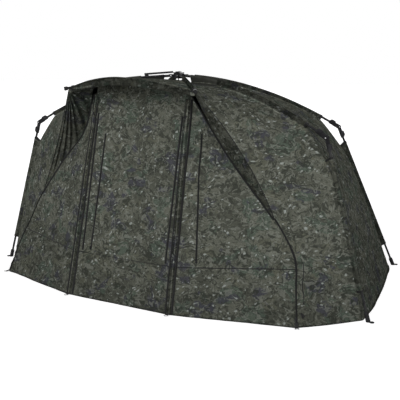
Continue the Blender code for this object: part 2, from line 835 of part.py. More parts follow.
def pole_line(side, height):
    across = POLE_BOTTOM.x + (POLE_TOP.x - POLE_BOTTOM.x) * height / POLE_TOP.z
    return on_panel(across * side, height)


def front_panel():
    seam_index = SEAM_POINT * ZIP_STEPS
    for word, side in SIDES.items():
        zip_line = front_edge(side)[0]
        rows = []
        for point in zip_line[:seam_index + 1]:
            share = (point.z - zip_line[seam_index].z) / (POLE_TOP.z - zip_line[seam_index].z)
            height = SEAM_HEIGHT + (POLE_TOP.z - SEAM_HEIGHT) * share
            fold = pole_line(side, height)
            inner = on_panel(side * (DOOR_HALF_WIDTH + FLAT_SEAM), height)
            rows.append([inner, *between(fold, point, 4, 0, FOLD_SEAM)])
        skin("front_panel_" + word, trimmed(rows, 0, FLAT_SEAM), camo)
    left, right = front_edge(-1)[0][seam_index:], front_edge(1)[0][seam_index:]
    rows = []
    for a, b in zip(left, right):
        height = max(SEAM_HEIGHT * a.z / left[0].z, HEM_LIFT)
        a = Vector((a.x, a.y, max(a.z, HEM_LIFT)))
        b = Vector((b.x, b.y, max(b.z, HEM_LIFT)))
        fold_a, fold_b = pole_line(-1, height), pole_line(1, height)
        middle = between(fold_a, fold_b, 4, 0, 0)
        rows.append([*between(a, fold_a, 4, FOLD_SEAM, 0), *middle[1:-1], *between(fold_b, b, 4, 0, FOLD_SEAM)])
    skin("kick_panel", trimmed(rows, FLAT_SEAM, 0), camo)
    reach = DOOR_HALF_WIDTH - FLAT_SEAM
    rows = []
    for i in range(9):
        height = DOOR_TOP - (DOOR_TOP - SEAM_HEIGHT) * i / 8
        rows.append([on_panel(reach * j / 3, height) for j in range(-3, 4)])
    skin("door", trimmed(rows, FOLD_SEAM, FLAT_SEAM), camo)
    rows = []
    for i in range(4):
        row = []
        for j in range(-4, 5):
            share = j / 4
            top = HEADER_TOP + HEADER_RISE * (1 - share ** 2)
            row.append(on_panel(reach * share, top + (DOOR_TOP - top) * i / 3))
        rows.append(row)
    skin("front_header", trimmed(rows, 0, FOLD_SEAM), camo)


# Storm poles

def pole_head(side):
    top = mirrored(POLE_TOP, side)
    down = (mirrored(POLE_BOTTOM, side) - top).normalized()
    seat = top + down * (CLIP_HEIGHT / 2 + FLAT_SEAM) - ACROSS * side * POLE_INSET
    return seat + PANEL_IN * POLE_STAND_OFF


def pole_base(side):
    """Where a storm pole's centre line meets the ground."""
    direction = (mirrored(POLE_BOTTOM, side) - mirrored(POLE_TOP, side)).normalized()
    head = pole_head(side)
    return head + direction * head.z / -direction.z


def pole_axis(side):
    """The hinge at a storm pole's head, square to the pole."""
    up = (pole_head(side) - pole_base(side)).normalized()
    return (ACROSS - up * up.x).normalized()


def storm_poles():
    for word, side in SIDES.items():
        head, base = pole_head(side), pole_base(side)
        up = (head - base).normalized()
        axis = pole_axis(side)
        start = head - up * SOCKET_START / 2
        upper_end = head - up * POLE_UPPER_LENGTH
        body = cylinder("storm_pole_upper_" + word, upper_end, start, POLE_RADIUS, 20, alloy)
        neck = paddle("neck", head, -up, axis, SOCKET_START / 2 + OVERRUN / 2, CLIP_EAR_WIDTH, TONGUE_THICKNESS)
        combine(body, [neck], "UNION")
        bore = cylinder("bore", upper_end - up * OVERRUN, start - up * OVERRUN, POLE_BORE, 20)
        combine(body, [bore, pin_cutter(head, axis)], "DIFFERENCE")
        finish(add_look(body, alloy))
        ring = turned("pole_lock_" + word, [
            (COLLAR_RADIUS, COLLAR_LENGTH), (COLLAR_RADIUS, 0), (POLE_RADIUS + GAP, 0),
            (POLE_RADIUS + GAP, COLLAR_LENGTH)], moulding, closed=True)
        ring.data.transform(frame_at(upper_end, up, ACROSS))
        inner_top = head - up * (POLE_UPPER_LENGTH - POLE_OVERLAP)
        lower = rod("storm_pole_lower_" + word, [inner_top, base], POLE_INNER_RADIUS, alloy)
        ferrule = cylinder("ferrule", base - up * POLE_FOOT_RADIUS, base + up * POLE_FOOT_LENGTH,
                           POLE_FOOT_RADIUS, 20)
        combine(lower, [ferrule], "UNION")
        finish(combine(lower, [ground_cutter()], "DIFFERENCE"))
        near, far = CLOTH / 2 + SEAT, POLE_STAND_OFF - CLIP_EAR_WIDTH / 2 - SEAT
        slot = TONGUE_THICKNESS / 2 + GAP
        plate = block("pole_clip_" + word, head - PANEL_IN * (POLE_STAND_OFF - (near + far) / 2),
                      (2 * slot + EAR_THICKNESS, far - near, CLIP_HEIGHT), up, axis, moulding)
        ears = []
        for way in (-1, 1):
            middle = head + axis * way * (slot + EAR_THICKNESS / 2)
            ears.append(paddle("ear", middle, -PANEL_IN, axis, CLIP_EAR_WIDTH / 2 + SEAT + OVERRUN / 2,
                               CLIP_EAR_WIDTH, EAR_THICKNESS))
        finish(combine(plate, [*ears, pin(head, axis)], "UNION"))


# Zips of the door

def zip_place(side, height, lift):
    across = DOOR_HALF_WIDTH + FLAT_SEAM + TAPE_WIDTH / 2
    return on_panel(across * side, height) - PANEL_IN * lift


def zip_sliders():
    lift = CLOTH / 2 + GAP + SLIDER_THICKNESS / 2
    for word, side in SIDES.items():
        centre = zip_place(side, SLIDER_HEIGHT, lift)
        slider = block("door_zip_slider_" + word, centre, (SLIDER_WIDTH, SLIDER_THICKNESS, SLIDER_LENGTH),
                       PANEL_UP, ACROSS)
        tab_centre = centre - PANEL_IN * (SLIDER_THICKNESS / 2) - PANEL_UP * (PULL_LENGTH / 2)
        tab = block("tab", tab_centre, (PULL_WIDTH, PULL_THICKNESS, PULL_LENGTH), PANEL_UP, ACROSS)
        combine(slider, [tab], "UNION")
        finish(add_look(slider, moulding))


hub()
ribs()
struts()
knuckles()
legs()
peak_bow()
roofs()
walls()
curtains()
front_panel()
storm_poles()
zip_sliders()
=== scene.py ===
# %% [markdown]
# # A folding-frame bivvy tent
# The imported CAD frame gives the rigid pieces: hub, ribs, legs, knuckles, storm poles and zip
# sliders. This file gives those pieces their finishes and replaces the plain cloth solids by
# taut, seamed and pleated cloth. Everything is in metres, +Z is up and the front faces -Y.

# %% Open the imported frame
import math
from collections import namedtuple

import bmesh
import bpy
import numpy as np
from mathutils import Matrix, Vector, noise
from mathutils.bvhtree import BVHTree
from mathutils.kdtree import KDTree


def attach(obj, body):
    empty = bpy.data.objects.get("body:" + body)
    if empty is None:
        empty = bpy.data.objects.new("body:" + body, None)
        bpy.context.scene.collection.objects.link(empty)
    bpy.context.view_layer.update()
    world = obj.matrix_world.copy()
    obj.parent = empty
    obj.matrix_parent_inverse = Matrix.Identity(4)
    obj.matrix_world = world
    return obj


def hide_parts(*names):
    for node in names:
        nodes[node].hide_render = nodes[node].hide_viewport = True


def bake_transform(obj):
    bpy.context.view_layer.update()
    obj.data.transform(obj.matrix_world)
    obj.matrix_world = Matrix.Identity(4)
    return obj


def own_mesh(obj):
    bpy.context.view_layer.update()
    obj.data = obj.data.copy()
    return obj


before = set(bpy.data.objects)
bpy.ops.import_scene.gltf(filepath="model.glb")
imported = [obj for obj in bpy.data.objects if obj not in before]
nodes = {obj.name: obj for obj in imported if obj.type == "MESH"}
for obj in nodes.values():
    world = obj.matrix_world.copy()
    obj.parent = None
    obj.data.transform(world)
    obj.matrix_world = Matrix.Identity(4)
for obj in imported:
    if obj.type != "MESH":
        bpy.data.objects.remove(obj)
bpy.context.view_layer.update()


def new_object(name, data):
    made = bpy.data.objects.new(name, data)
    bpy.context.scene.collection.objects.link(made)
    return made


def rounded(numbers):
    return tuple(round(x, 3) for x in numbers)


# %% [markdown]
# ## The camera
# The photo was taken from the front right with a longish lens. Its place and angles were fitted
# from the mirror-symmetric points of the tent, so no shift is needed.

# %% Place the camera
view = bpy.data.cameras.new("photo_view")
view.lens = 69.37
view.sensor_width = 36
camera = new_object("photo_view", view)
camera.location = (2.61637, -4.10883, 1.33187)
camera.rotation_euler = (math.pi / 2 - 0.17606, 0, 0.56407)
bpy.context.scene.camera = camera
print("camera", rounded(camera.location))

# %% [markdown]
# ## The tent's layout
# Six ribs leave the hub. The side and back ribs end in knuckles, from which legs go to the
# ground. The two front ribs end at the peak's corners. The cloth hangs just under the ribs, so
# every cloth piece starts from the same few lines as the CAD solids.

# %% Sizes that the cloth shares with the frame
HALF_WIDTH = 1.300
DEPTH = 1.700
RISE = 1.257
MIDDLE_DEPTH_SHARE = 0.50497
HUB_DEPTH_SHARE = 0.379
BACK_FOOT_DEPTH_SHARE = 0.985
ARCH_POWER = 1.84
SKIN_DROP = 0.0080
HUB_GAP = 0.044
PATCH_RADIUS = 0.028
ROOF_END_SHARE = 0.885
LEG_JOIN = 0.105
JOIN_CLEAR = 0.028
JOIN_CLEAR_POWER = 12
FOOT_CLEAR = 0.024
FOOT_CLEAR_POWER = 3
HEM_LIFT = 0.001
UP = Vector((0, 0, 1))
ACROSS = Vector((1, 0, 0))
INSIDE = Vector((0, -0.10, 0.45))
SIDES = {"left": -1, "right": 1}


def place(across_share, depth_share, height_share):
    depth = (depth_share - MIDDLE_DEPTH_SHARE) * DEPTH
    return Vector((across_share * HALF_WIDTH, depth, height_share * RISE))


HUB = place(0, HUB_DEPTH_SHARE, 1)
SIDE_FOOT_REACH = HALF_WIDTH / math.cos(math.radians(7.5))
BACK_FOOT_REACH = DEPTH * (BACK_FOOT_DEPTH_SHARE - HUB_DEPTH_SHARE) / math.sin(math.radians(45))

# Azimuth in degrees, three lengths, and the share of the rib at which the cloth meets it
Rib = namedtuple("Rib", "azimuth reach drop foot_reach meets_cloth")
RIBS = {
    "side": Rib(-7.5, 0.787 * SIDE_FOOT_REACH, 0.312, SIDE_FOOT_REACH, 0.40),
    "back": Rib(45.0, 0.713 * BACK_FOOT_REACH, 0.326, BACK_FOOT_REACH, 0.40),
    "front": Rib(-48.9, 0.660, 0.068, 0, 0.60),
}
LEGGED = ("side", "back")
print("hub", rounded(HUB), "side reach", round(RIBS["side"].reach, 3))


# %% Lines of the ribs and legs
def outward(kind, side):
    angle = math.radians(RIBS[kind].azimuth)
    return Vector((side * math.cos(angle), math.sin(angle), 0))


def rib_point(kind, side, share):
    level = HUB.z - RIBS[kind].drop * share ** ARCH_POWER
    return Vector((HUB.x, HUB.y, level)) + outward(kind, side) * RIBS[kind].reach * share


def rib_slope(kind, side, share):
    step = 1 / 1024
    return (rib_point(kind, side, share + step) - rib_point(kind, side, share - step)).normalized()


def inward_normal(direction, radial):
    normal = direction.cross(radial.cross(UP)).normalized()
    return normal if normal.z < 0 else -normal


def knuckle(kind, side):
    return rib_point(kind, side, 1)


def foot(kind, side):
    return Vector((HUB.x, HUB.y, 0)) + outward(kind, side) * RIBS[kind].foot_reach


def leg_direction(kind, side):
    return (foot(kind, side) - knuckle(kind, side)).normalized()


print("side knuckle", rounded(knuckle("side", 1)))


# %% Lines of the cloth under them
def roof_skin(kind, side, share):
    lift_off = RIBS[kind].meets_cloth
    slope = rib_slope(kind, side, max(share, 1 / 64))
    point = rib_point(kind, side, share) + inward_normal(slope, outward(kind, side)) * SKIN_DROP
    if share < lift_off:
        point.z -= HUB_GAP * (1 - share / lift_off) ** 2
    return point


def leg_skin(kind, side, share):
    start = roof_skin(kind, side, ROOF_END_SHARE)
    top, bottom = knuckle(kind, side), foot(kind, side)
    direction = leg_direction(kind, side)
    inside = inward_normal(direction, outward(kind, side))
    join = top + direction * LEG_JOIN + inside * (SKIN_DROP + JOIN_CLEAR)
    join_share = (start.z - join.z) / start.z
    if share <= join_share:
        return start.lerp(join, share / join_share)
    down = (share - join_share) / (1 - join_share)
    clear = SKIN_DROP + JOIN_CLEAR * (1 - down) ** JOIN_CLEAR_POWER
    point = (top + direction * LEG_JOIN).lerp(bottom, down) + inside * clear
    point -= outward(kind, side) * FOOT_CLEAR * down ** FOOT_CLEAR_POWER
    point.z = max(point.z, HEM_LIFT)
    return point


def smooth_line(points, steps):
    padded = [2 * points[0] - points[1], *points, 2 * points[-1] - points[-2]]
    line = [points[0]]
    for a, b, c, d in zip(padded, padded[1:], padded[2:], padded[3:]):
        for step in range(1, steps + 1):
            t = step / steps
            line.append(0.5 * (2 * b + (c - a) * t + (2 * a - 5 * b + 4 * c - d) * t ** 2
                               + (3 * b - a - 3 * c + d) * t ** 3))
    return line


# %% [markdown]
# The side walls have a free front edge. From the peak's corner it bows down to a tip, and from
# there it runs down a curved zip to the front corner. The front panel closes against the zip.
# Cloth under tension has no kinks, so a smooth curve through a few measured points is enough.

# %% Lines of the front opening
ZIP_LINE_SHARES = (
    (0.2646, 0.1588, 0.9182), (0.3685, 0.1918, 0.7260), (0.4810, 0.1820, 0.5943),
    (0.6320, 0.1865, 0.4137), (0.7120, 0.1880, 0.2853), (0.7380, 0.1740, 0.2169),
    (0.7530, 0.1510, 0.1525), (0.7850, 0.1120, 0.0))
ZIP_STEPS = 5
TIP_KNOT = 3 * ZIP_STEPS
SEAM_KNOT = 5 * ZIP_STEPS
EDGE_ROWS = 22
EDGE_BOW_SHARES = Vector((0.022, 0.055, 0.012))
POLE_TOP = place(0.2446, 0.1588, 0.9182)
POLE_BOTTOM = place(0.2823, 0.0088, 0.0)
PANEL_SLOPE = (POLE_TOP.y - POLE_BOTTOM.y) / (POLE_TOP.z - POLE_BOTTOM.z)
PANEL_UP = Vector((0, PANEL_SLOPE, 1)).normalized()
PANEL_OUT = Vector((0, -PANEL_UP.z, PANEL_UP.y))
DOOR_HALF_WIDTH = 0.285
DOOR_TOP = 1.0449
SEAM_HEIGHT = 0.2500
HEADER_HALF_WIDTH = 0.3220
HEADER_TOP = 1.2120


def zip_line(side):
    points = [place(*shares) for shares in ZIP_LINE_SHARES]
    return smooth_line([Vector((p.x * side, p.y, p.z)) for p in points], ZIP_STEPS)


def edge_bow(side, apex, tip):
    """How the free edge bows away from the straight line between its ends."""
    return Vector((EDGE_BOW_SHARES.x * side, EDGE_BOW_SHARES.y, EDGE_BOW_SHARES.z)) * (tip - apex).length


def free_edge(side):
    apex, tip = roof_skin("front", side, 1), zip_line(side)[TIP_KNOT]
    bow = edge_bow(side, apex, tip)
    shares = [row / EDGE_ROWS for row in range(EDGE_ROWS + 1)]
    return [apex.lerp(tip, share) + bow * 4 * share * (1 - share) for share in shares]


def on_panel(across, height):
    return Vector((across, POLE_BOTTOM.y + PANEL_SLOPE * height, height))


def pole_line(side, height):
    across = POLE_BOTTOM.x + (POLE_TOP.x - POLE_BOTTOM.x) * height / POLE_TOP.z
    return on_panel(across * side, height)


def seam_line():
    """The cross seam that joins the front panel's upper part and its kick panel."""
    ends = [zip_line(side)[SEAM_KNOT] for side in (-1, 1)]
    turns = [pole_line(side, SEAM_HEIGHT) for side in (-1, 1)]
    return [ends[0], *turns, ends[1]]


print("tip of the free edge", rounded(free_edge(1)[-1]))

# %% [markdown]
# ## Writing materials as expressions
# A wire is one output socket. Sums, products and comparisons of wires add Math nodes, and every
# other node comes from one method, so each finish below reads like a formula.


# %% A socket that takes part in expressions
def operator(operation, reflected=False):
    """A method for one operator: it adds a Math node, with the wire last in a reflected form."""
    def method(self, other):
        return self.maths(operation, *((other, self) if reflected else (self, other)))
    return method


class Wire:
    """An output socket of a node tree, for use in Python expressions."""

    __add__, __radd__ = operator("ADD"), operator("ADD", True)
    __sub__, __rsub__ = operator("SUBTRACT"), operator("SUBTRACT", True)
    __mul__, __rmul__ = operator("MULTIPLY"), operator("MULTIPLY", True)
    __gt__, __lt__ = operator("GREATER_THAN"), operator("LESS_THAN")

    def __init__(self, tree, socket=None):
        self.tree = tree
        self.socket = socket

    def node(self, kind, settings=None, inputs=None, out=0):
        """Add a shader node: its settings first, then the values or wires of its sockets."""
        made = self.tree.nodes.new("ShaderNode" + kind)
        for name, value in (settings or {}).items():
            setattr(made, name, value)
        for name, value in (inputs or {}).items():
            if isinstance(value, Wire):
                self.tree.links.new(value.socket, made.inputs[name])
            else:
                made.inputs[name].default_value = value
        return Wire(self.tree, made.outputs[out])

    def maths(self, operation, *values):
        return self.node("Math", {"operation": operation}, dict(enumerate(values)))

    def vector_maths(self, operation, other):
        return self.node("VectorMath", {"operation": operation}, {0: self, 1: other})

    def soft(self, low, high):
        """0 below low, 1 above high and a smooth step between them."""
        return self.node("MapRange", {"interpolation_type": "SMOOTHSTEP"},
                         {"Value": self, "From Min": low, "From Max": high})

    def mix(self, first, second):
        """Colours mixed by this wire, from the first to the second."""
        return self.node("Mix", {"data_type": "RGBA"}, {0: self, 6: first, 7: second}, out=2)


# %% What every finish starts with
WAVE_SCALE = 0.314


def grey(value):
    return (value, value, value, 1)


def lighter(colour, share):
    return (*(x * share for x in colour[:3]), 1)


def new_finish(name, **constants):
    """A Principled material with its constants set; gives the material and a wire to build from."""
    made = bpy.data.materials.new(name)
    made.use_nodes = True
    shader = made.node_tree.nodes["Principled BSDF"]
    for socket, value in constants.items():
        shader.inputs[socket.replace("_", " ")].default_value = value
    return made, Wire(made.node_tree)


def feed(made, **wires):
    shader = made.node_tree.nodes["Principled BSDF"]
    for socket, wire in wires.items():
        made.node_tree.links.new(wire.socket, shader.inputs[socket.replace("_", " ")])
    return made


def rest_place(start):
    """Where a point of the cloth was before anything folded."""
    return start.node("Attribute", {"attribute_name": "rest_place"}, out=1)


def cloth_place(start):
    """Metres across and along the cloth."""
    return start.node("UVMap", {"uv_map": "cloth"})


def scaled(vector, factors, shift=(0, 0, 0)):
    return vector.vector_maths("MULTIPLY", factors).vector_maths("ADD", shift)


def cloud(vector, scale, detail=2.0, distortion=0.0):
    return vector.node("TexNoise", None, {
        "Vector": vector, "Scale": scale, "Detail": detail, "Distortion": distortion})


def bands(cloth, direction, pitch):
    """Waves across one direction of the cloth, one in each pitch."""
    return cloth.node("TexWave", {"bands_direction": direction},
                      {"Vector": cloth, "Scale": WAVE_SCALE / pitch})


def bumped(height, distance, strength):
    return height.node("Bump", None, {
        "Height": height, "Distance": distance, "Strength": strength})


print("a lighter grey", lighter(grey(0.1), 1.5))


# %% [markdown]
# ## The printed camouflage
# The shell is a coated polyester printed with leaves and twigs in dull greens, with violet-grey
# and ochre clouds and many small pale flecks. The print here is a generic mottle in those
# colours and sizes: warped noise cut at a threshold gives the leaves, and stretched Voronoi
# cells give the flecks. It reads the cloth's rest place, so it stays put when the cloth folds.

# %% Camouflage cloth
# Each layer: noise scale, shift, threshold, colour and how much of the ground it covers
PRINT_LAYERS = (
    (9.0, (7, 3, 1), 0.56, (0.098, 0.100, 0.074, 1), 0.45),
    (8.0, (2, 9, 5), 0.55, (0.056, 0.078, 0.062, 1), 0.6),
    (8.5, (5, 1, 8), 0.58, (0.042, 0.043, 0.054, 1), 0.85),
    (26.0, (3, 3, 3), 0.53, (0.030, 0.033, 0.027, 1), 0.80),
    (48.0, (4, 8, 2), 0.55, (0.034, 0.036, 0.030, 1), 0.65),
    (38.0, (9, 2, 6), 0.55, (0.145, 0.152, 0.130, 1), 0.6))
FINE_SCALE = 20
FLECK_SCALE = 38.0
FLECK_PICK = 1.25
FLECK_COLOUR = (0.25, 0.27, 0.25, 1)
# Painted shade towards the ground: how high it reaches and how much it darkens at the hem
LOW_PAINTED_SHADE_HEIGHT = 0.60
LOW_PAINTED_SHADE_DEPTH = 0.22


def weave(start, pitch):
    """A plain weave with a stronger thread now and then, in the cloth's own directions."""
    cloth = cloth_place(start)
    threads = [bands(cloth, direction, size) * share for direction in ("X", "Y")
               for size, share in ((pitch, 0.5), (pitch * 6, 0.8))]
    return sum(threads[1:], threads[0])


def camouflage(name, brightness):
    made, start = new_finish(name, Specular_IOR_Level=0.0)
    upright = rest_place(start)
    spot = scaled(upright, (0.92, 0.92, 1.15))
    wander = spot.node("TexNoise", None, {"Vector": spot, "Scale": 9.0, "Detail": 3.0}, out=1)
    leafy = spot.vector_maths("ADD", scaled(wander, (0.10, 0.10, 0.10), (-0.05, -0.05, -0.05)))

    shade = cloud(leafy, 10.0, 4.0).soft(0.40, 0.60)
    ground = shade.mix((0.059, 0.062, 0.050, 1), (0.091, 0.095, 0.077, 1))
    for scale, shift, low, colour, most in PRINT_LAYERS:
        patch = cloud(scaled(leafy, (1, 1, 1), shift), scale, 3.0, 1.2 if scale > FINE_SCALE else 0.3)
        ground = (patch.soft(low, low + 0.04) * most).mix(ground, colour)

    slanted = spot.node("VectorRotate", {"rotation_type": "EULER_XYZ"}, {
        "Vector": leafy, "Rotation": (0.5, 0.9, 0.3)})
    cells = scaled(slanted, (1.0, 1.0, 1.5))
    near, pick = (cells.node("TexVoronoi", None, {"Vector": cells, "Scale": FLECK_SCALE}, out=out)
                  for out in (0, 1))
    chosen = pick.node("SeparateColor", None, {0: pick}) + cloud(spot, 9.0) * 0.9
    flecks = near.soft(0.38, 0.20) * (chosen > FLECK_PICK)
    ground = (flecks * 0.8).mix(ground, FLECK_COLOUR)

    grain = cloud(spot, 170.0).soft(0.2, 0.8)
    # Painted shade: the print gets darker towards the ground, by up to 22 % at the hem
    height = upright.node("SeparateXYZ", None, {0: upright}, out=2)
    low_painted_shade = height.soft(0.0, LOW_PAINTED_SHADE_HEIGHT) * LOW_PAINTED_SHADE_DEPTH + (1 - LOW_PAINTED_SHADE_DEPTH)
    level = (0.80 + grain * 0.4) * low_painted_shade * brightness
    shade = grain.node("CombineColor", None, {0: level, 1: level, 2: level})
    colour = ground.node("Mix", {"data_type": "RGBA", "blend_type": "MULTIPLY"},
                         {0: 1.0, 6: ground, 7: shade}, out=2)
    crumple = cloud(spot, 26.0, 4.0, 0.6)
    normal = bumped(weave(start, 0.0011) * 0.12 + crumple, 0.0022, 0.55)
    return feed(made, Base_Color=colour, Roughness=0.70 + grain * 0.14, Normal=normal)


camo_look = camouflage("printed_camouflage", 1.10)
# Darker copies of the same print for the sleeves: painted shade. They also serve the brim and the hem binding.
sleeve_painted_shade_look = camouflage("sleeve_camouflage", 0.42)
leg_sleeve_painted_shade_look = camouflage("leg_sleeve_camouflage", 0.72)
pole_sleeve_painted_shade_look = camouflage("pole_sleeve_camouflage", 0.55)
# A lighter copy of the print: a painted highlight along ridges and seams.
ridge_painted_highlight_look = camouflage("ridge_camouflage", 1.8)
# One curtain cloth in two copies: the left lightened as painted light, the right darkened as painted shade.
curtain_lit_and_shaded_looks = {"left": camouflage("curtain_left_camouflage", 0.76),
                 "right": camouflage("curtain_right_camouflage", 0.54)}
print("camouflage nodes", len(camo_look.node_tree.nodes))

# %% [markdown]
# ## Plain cloth, webbing and zips
# The patch under the hub, the sleeves next to it and the bindings are an unprinted dark cloth.
# Webbing shows its ribs across, and a zip its coils. The same pattern of ribs serves for both.


# %% Dark cloth, webbing and zip coil
THREAD_COLOUR = (0.075, 0.076, 0.068, 1)
STITCH_PITCH = 0.0032
STITCH_HALF_WIDTH = 0.0005


def plain_cloth(name, colour):
    made, start = new_finish(name, Specular_IOR_Level=0.0)
    spot = rest_place(start)
    blotch = cloud(spot, 14.0, 4.0)
    normal = bumped(weave(start, 0.0012) * 0.15 + cloud(spot, 30.0, 3.0), 0.0018, 0.5)
    return feed(made, Base_Color=blotch.soft(0.3, 0.7).mix(colour, lighter(colour, 1.5)),
                Roughness=0.74 + blotch * 0.2, Normal=normal)


def ribbed(name, colour, pitch, distance, stitched_at=0.0):
    """A band with ribs across it and a row of stitches near each edge; V runs along the band."""
    made, start = new_finish(name, Specular_IOR_Level=0.25)
    cloth = cloth_place(start)
    height = rib = bands(cloth, "Y", pitch)
    worn = cloud(rest_place(start), 22.0, 4.0)
    base = (rib * worn).soft(0.2, 0.6).mix(colour, lighter(colour, 2.2))
    if stitched_at:
        across = cloth.node("SeparateXYZ", None, {0: cloth})
        off = across.maths("ABSOLUTE", across.maths("ABSOLUTE", across) - stitched_at)
        stitches = (off < STITCH_HALF_WIDTH) * (bands(cloth, "Y", STITCH_PITCH) > 0.35)
        base = stitches.mix(base, THREAD_COLOUR)
        height = rib + stitches * 2
    return feed(made, Base_Color=base, Roughness=0.6 + worn * 0.3, Normal=bumped(height, distance, 0.8))


dark_look = plain_cloth("dark_cloth", (0.036, 0.037, 0.032, 1))
binding_look = ribbed("black_binding", grey(0.005), 0.0016, 0.0004, 0.0056)
webbing_look = ribbed("black_webbing", grey(0.014), 0.0022, 0.0008, 0.0075)
zip_look = ribbed("zip_coil", grey(0.006), 0.0022, 0.0010)
print("cloth and band finishes ready")

# %% [markdown]
# ## Hard finishes
# Hub, knuckles, clips and feet are glass-filled nylon moulded in black, with a fine grain and
# edges polished by use. Ribs, legs and poles are black anodised alloy tube. The struts on top of
# the front ribs are black too, and a little lighter where their edges rub. Fine noise gives the
# grain, and the shader's pointedness finds the edges, so no edge has to be painted by hand.


# %% Nylon, anodised alloy, the struts and steel
def hard_finish(name, colour, rubbed, metallic, roughness, grain_scale, grain_depth, stretch=(1, 1, 1)):
    made, start = new_finish(name, Metallic=metallic, Specular_IOR_Level=0.10)
    spot = start.node("TexCoord", out=3)
    grain = cloud(scaled(spot, stretch), grain_scale, 3.0)
    patches = cloud(spot, 18.0, 4.0)
    pointed = start.node("NewGeometry", out=7)
    wear = pointed.soft(0.51, 0.58) * patches.soft(0.40, 0.62)
    base = (patches * 0.5).mix(colour, lighter(colour, 1.7))
    return feed(made, Base_Color=wear.mix(base, rubbed), Roughness=roughness + grain * 0.18 - wear * 0.12,
                Normal=bumped(grain, grain_depth, 0.6))


black = (0.010, 0.010, 0.011, 1)
nylon_look = hard_finish("black_nylon", (0.011, 0.011, 0.012, 1), (0.030, 0.030, 0.032, 1),
                         0.0, 0.60, 900.0, 0.00020)
alloy_look = hard_finish("anodised_alloy", black, grey(0.022), 0.10, 0.45, 260.0, 0.00010, (1, 1, 0.15))
strut_look = hard_finish("strut_alloy", black, grey(0.024), 0.10, 0.42, 320.0, 0.00010, (0.2, 0.2, 1))
steel_look = hard_finish("pale_steel", (0.42, 0.42, 0.43, 1), grey(0.65), 0.5, 0.30, 400.0, 0.00008)

# The looks of the CAD nodes, by how their names start; the longest start counts
FINISHES = (
    (nylon_look, "hub", "rib_knuckle", "leg_knuckle", "foot", "pole_lock", "pole_clip",
     "door_zip_slider", "peak_bow"),
    (alloy_look, "side_rib", "back_rib", "front_rib", "leg_", "storm_pole"),
    (strut_look, "strut"),
    (dark_look, "apex_hook"))
look_of = {start: look for look, *starts in FINISHES for start in starts}
finished = 0
for name, node in nodes.items():
    starts = [start for start in look_of if name.startswith(start)]
    if not starts:
        continue
    finished += 1
    look = look_of[max(starts, key=len)]
    if node.material_slots:
        node.material_slots[0].material = look
    else:
        node.data.materials.append(look)
print("finished nodes", finished)

# %% [markdown]
# ## Cloth from grids of points
# A canopy panel is a grid of points between two ribs. Taut cloth pulls itself as short as it
# can, so each inner point is moved several times to the middle of its neighbours: the panel
# then curves a little inward between its ribs and loses its hard creases at the eaves.


# %% Grids, and the mesh that they become
def between(first_line, last_line, columns):
    """A grid of points from one line to another, straight across."""
    shares = np.linspace(0, 1, columns + 1)[None, :, None]
    first, last = (np.array([tuple(p) for p in line])[:, None, :] for line in (first_line, last_line))
    return first * (1 - shares) + last * shares


def pull_taut(grid, passes):
    for _ in range(passes):
        middle = (grid[:-2, 1:-1] + grid[2:, 1:-1] + grid[1:-1, :-2] + grid[1:-1, 2:]) / 4
        grid[1:-1, 1:-1] += (middle - grid[1:-1, 1:-1]) * 0.7
    return grid


def run_lengths(points):
    """The length of the line of points up to each of them."""
    return np.concatenate([[0], np.cumsum(np.linalg.norm(np.diff(points, axis=0), axis=1))])


def cloth_mesh(name, grids, look):
    """One welded sheet from several grids of points, with UVs in metres along the cloth."""
    made = bmesh.new()
    uv = made.loops.layers.uv.new("cloth")
    for points in grids:
        grid = np.array([[tuple(point) for point in row] for row in points])
        rows, columns = grid.shape[:2]
        knots = [[made.verts.new(point) for point in row] for row in grid]
        middle = grid[:, columns // 2]
        down = run_lengths(middle)
        across = [run_lengths(row) for row in grid]
        for j in range(rows - 1):
            for i in range(columns - 1):
                corners = ((j, i), (j, i + 1), (j + 1, i + 1), (j + 1, i))
                face = made.faces.new([knots[r][c] for r, c in corners])
                for loop, (r, c) in zip(face.loops, corners):
                    loop[uv].uv = (across[r][c] - across[r][-1] / 2, down[r])
    bmesh.ops.remove_doubles(made, verts=made.verts, dist=0.0009)
    bmesh.ops.dissolve_degenerate(made, edges=made.edges, dist=0.00001)
    bmesh.ops.recalc_face_normals(made, faces=made.faces)
    mesh = bpy.data.meshes.new(name)
    made.to_mesh(mesh)
    made.free()
    return turn_outward(new_piece(name, mesh, look))


def new_piece(name, mesh, look):
    mesh.materials.append(look)
    mesh.shade_smooth()
    return new_object(name, mesh)


def turn_outward(piece):
    """Turn the faces so that their normals point away from the inside of the tent."""
    outward_sum = sum((face.center - INSIDE).dot(face.normal) * face.area for face in piece.data.polygons)
    if outward_sum < 0:
        piece.data.flip_normals()
    return piece


def bake(piece):
    """Replace a piece's mesh by what its modifiers make of it."""
    bpy.context.view_layer.update()
    evaluated = piece.evaluated_get(bpy.context.evaluated_depsgraph_get())
    mesh = bpy.data.meshes.new_from_object(evaluated)
    piece.modifiers.clear()
    piece.data = mesh
    return piece


def refine(piece, kind):
    finer = piece.modifiers.new("finer", "SUBSURF")
    finer.levels = 1
    finer.subdivision_type = kind
    return bake(piece)


# %% [markdown]
# ## The canopy
# Side and back walls run on from the roof in one piece, so each strip of cloth goes from the hub
# over the eave to the ground. The front strip ends in the peak's brim, which bows forward and
# up and turns down in a short lip.

# %% Strips from the hub to the ground
ROOF_ROWS = 20
TAUT_PASSES = 60
BOW_RISE = 0.0736
BOW_FORWARD = 0.1045
BOW_POWER = 1.7
HEM_BULGE = 0.022
BRIM_DEPTH = 0.042
BRIM_SET_BACK = 0.012
LIP_SHARES = (0.12, 0.35, 0.65, 1.0)


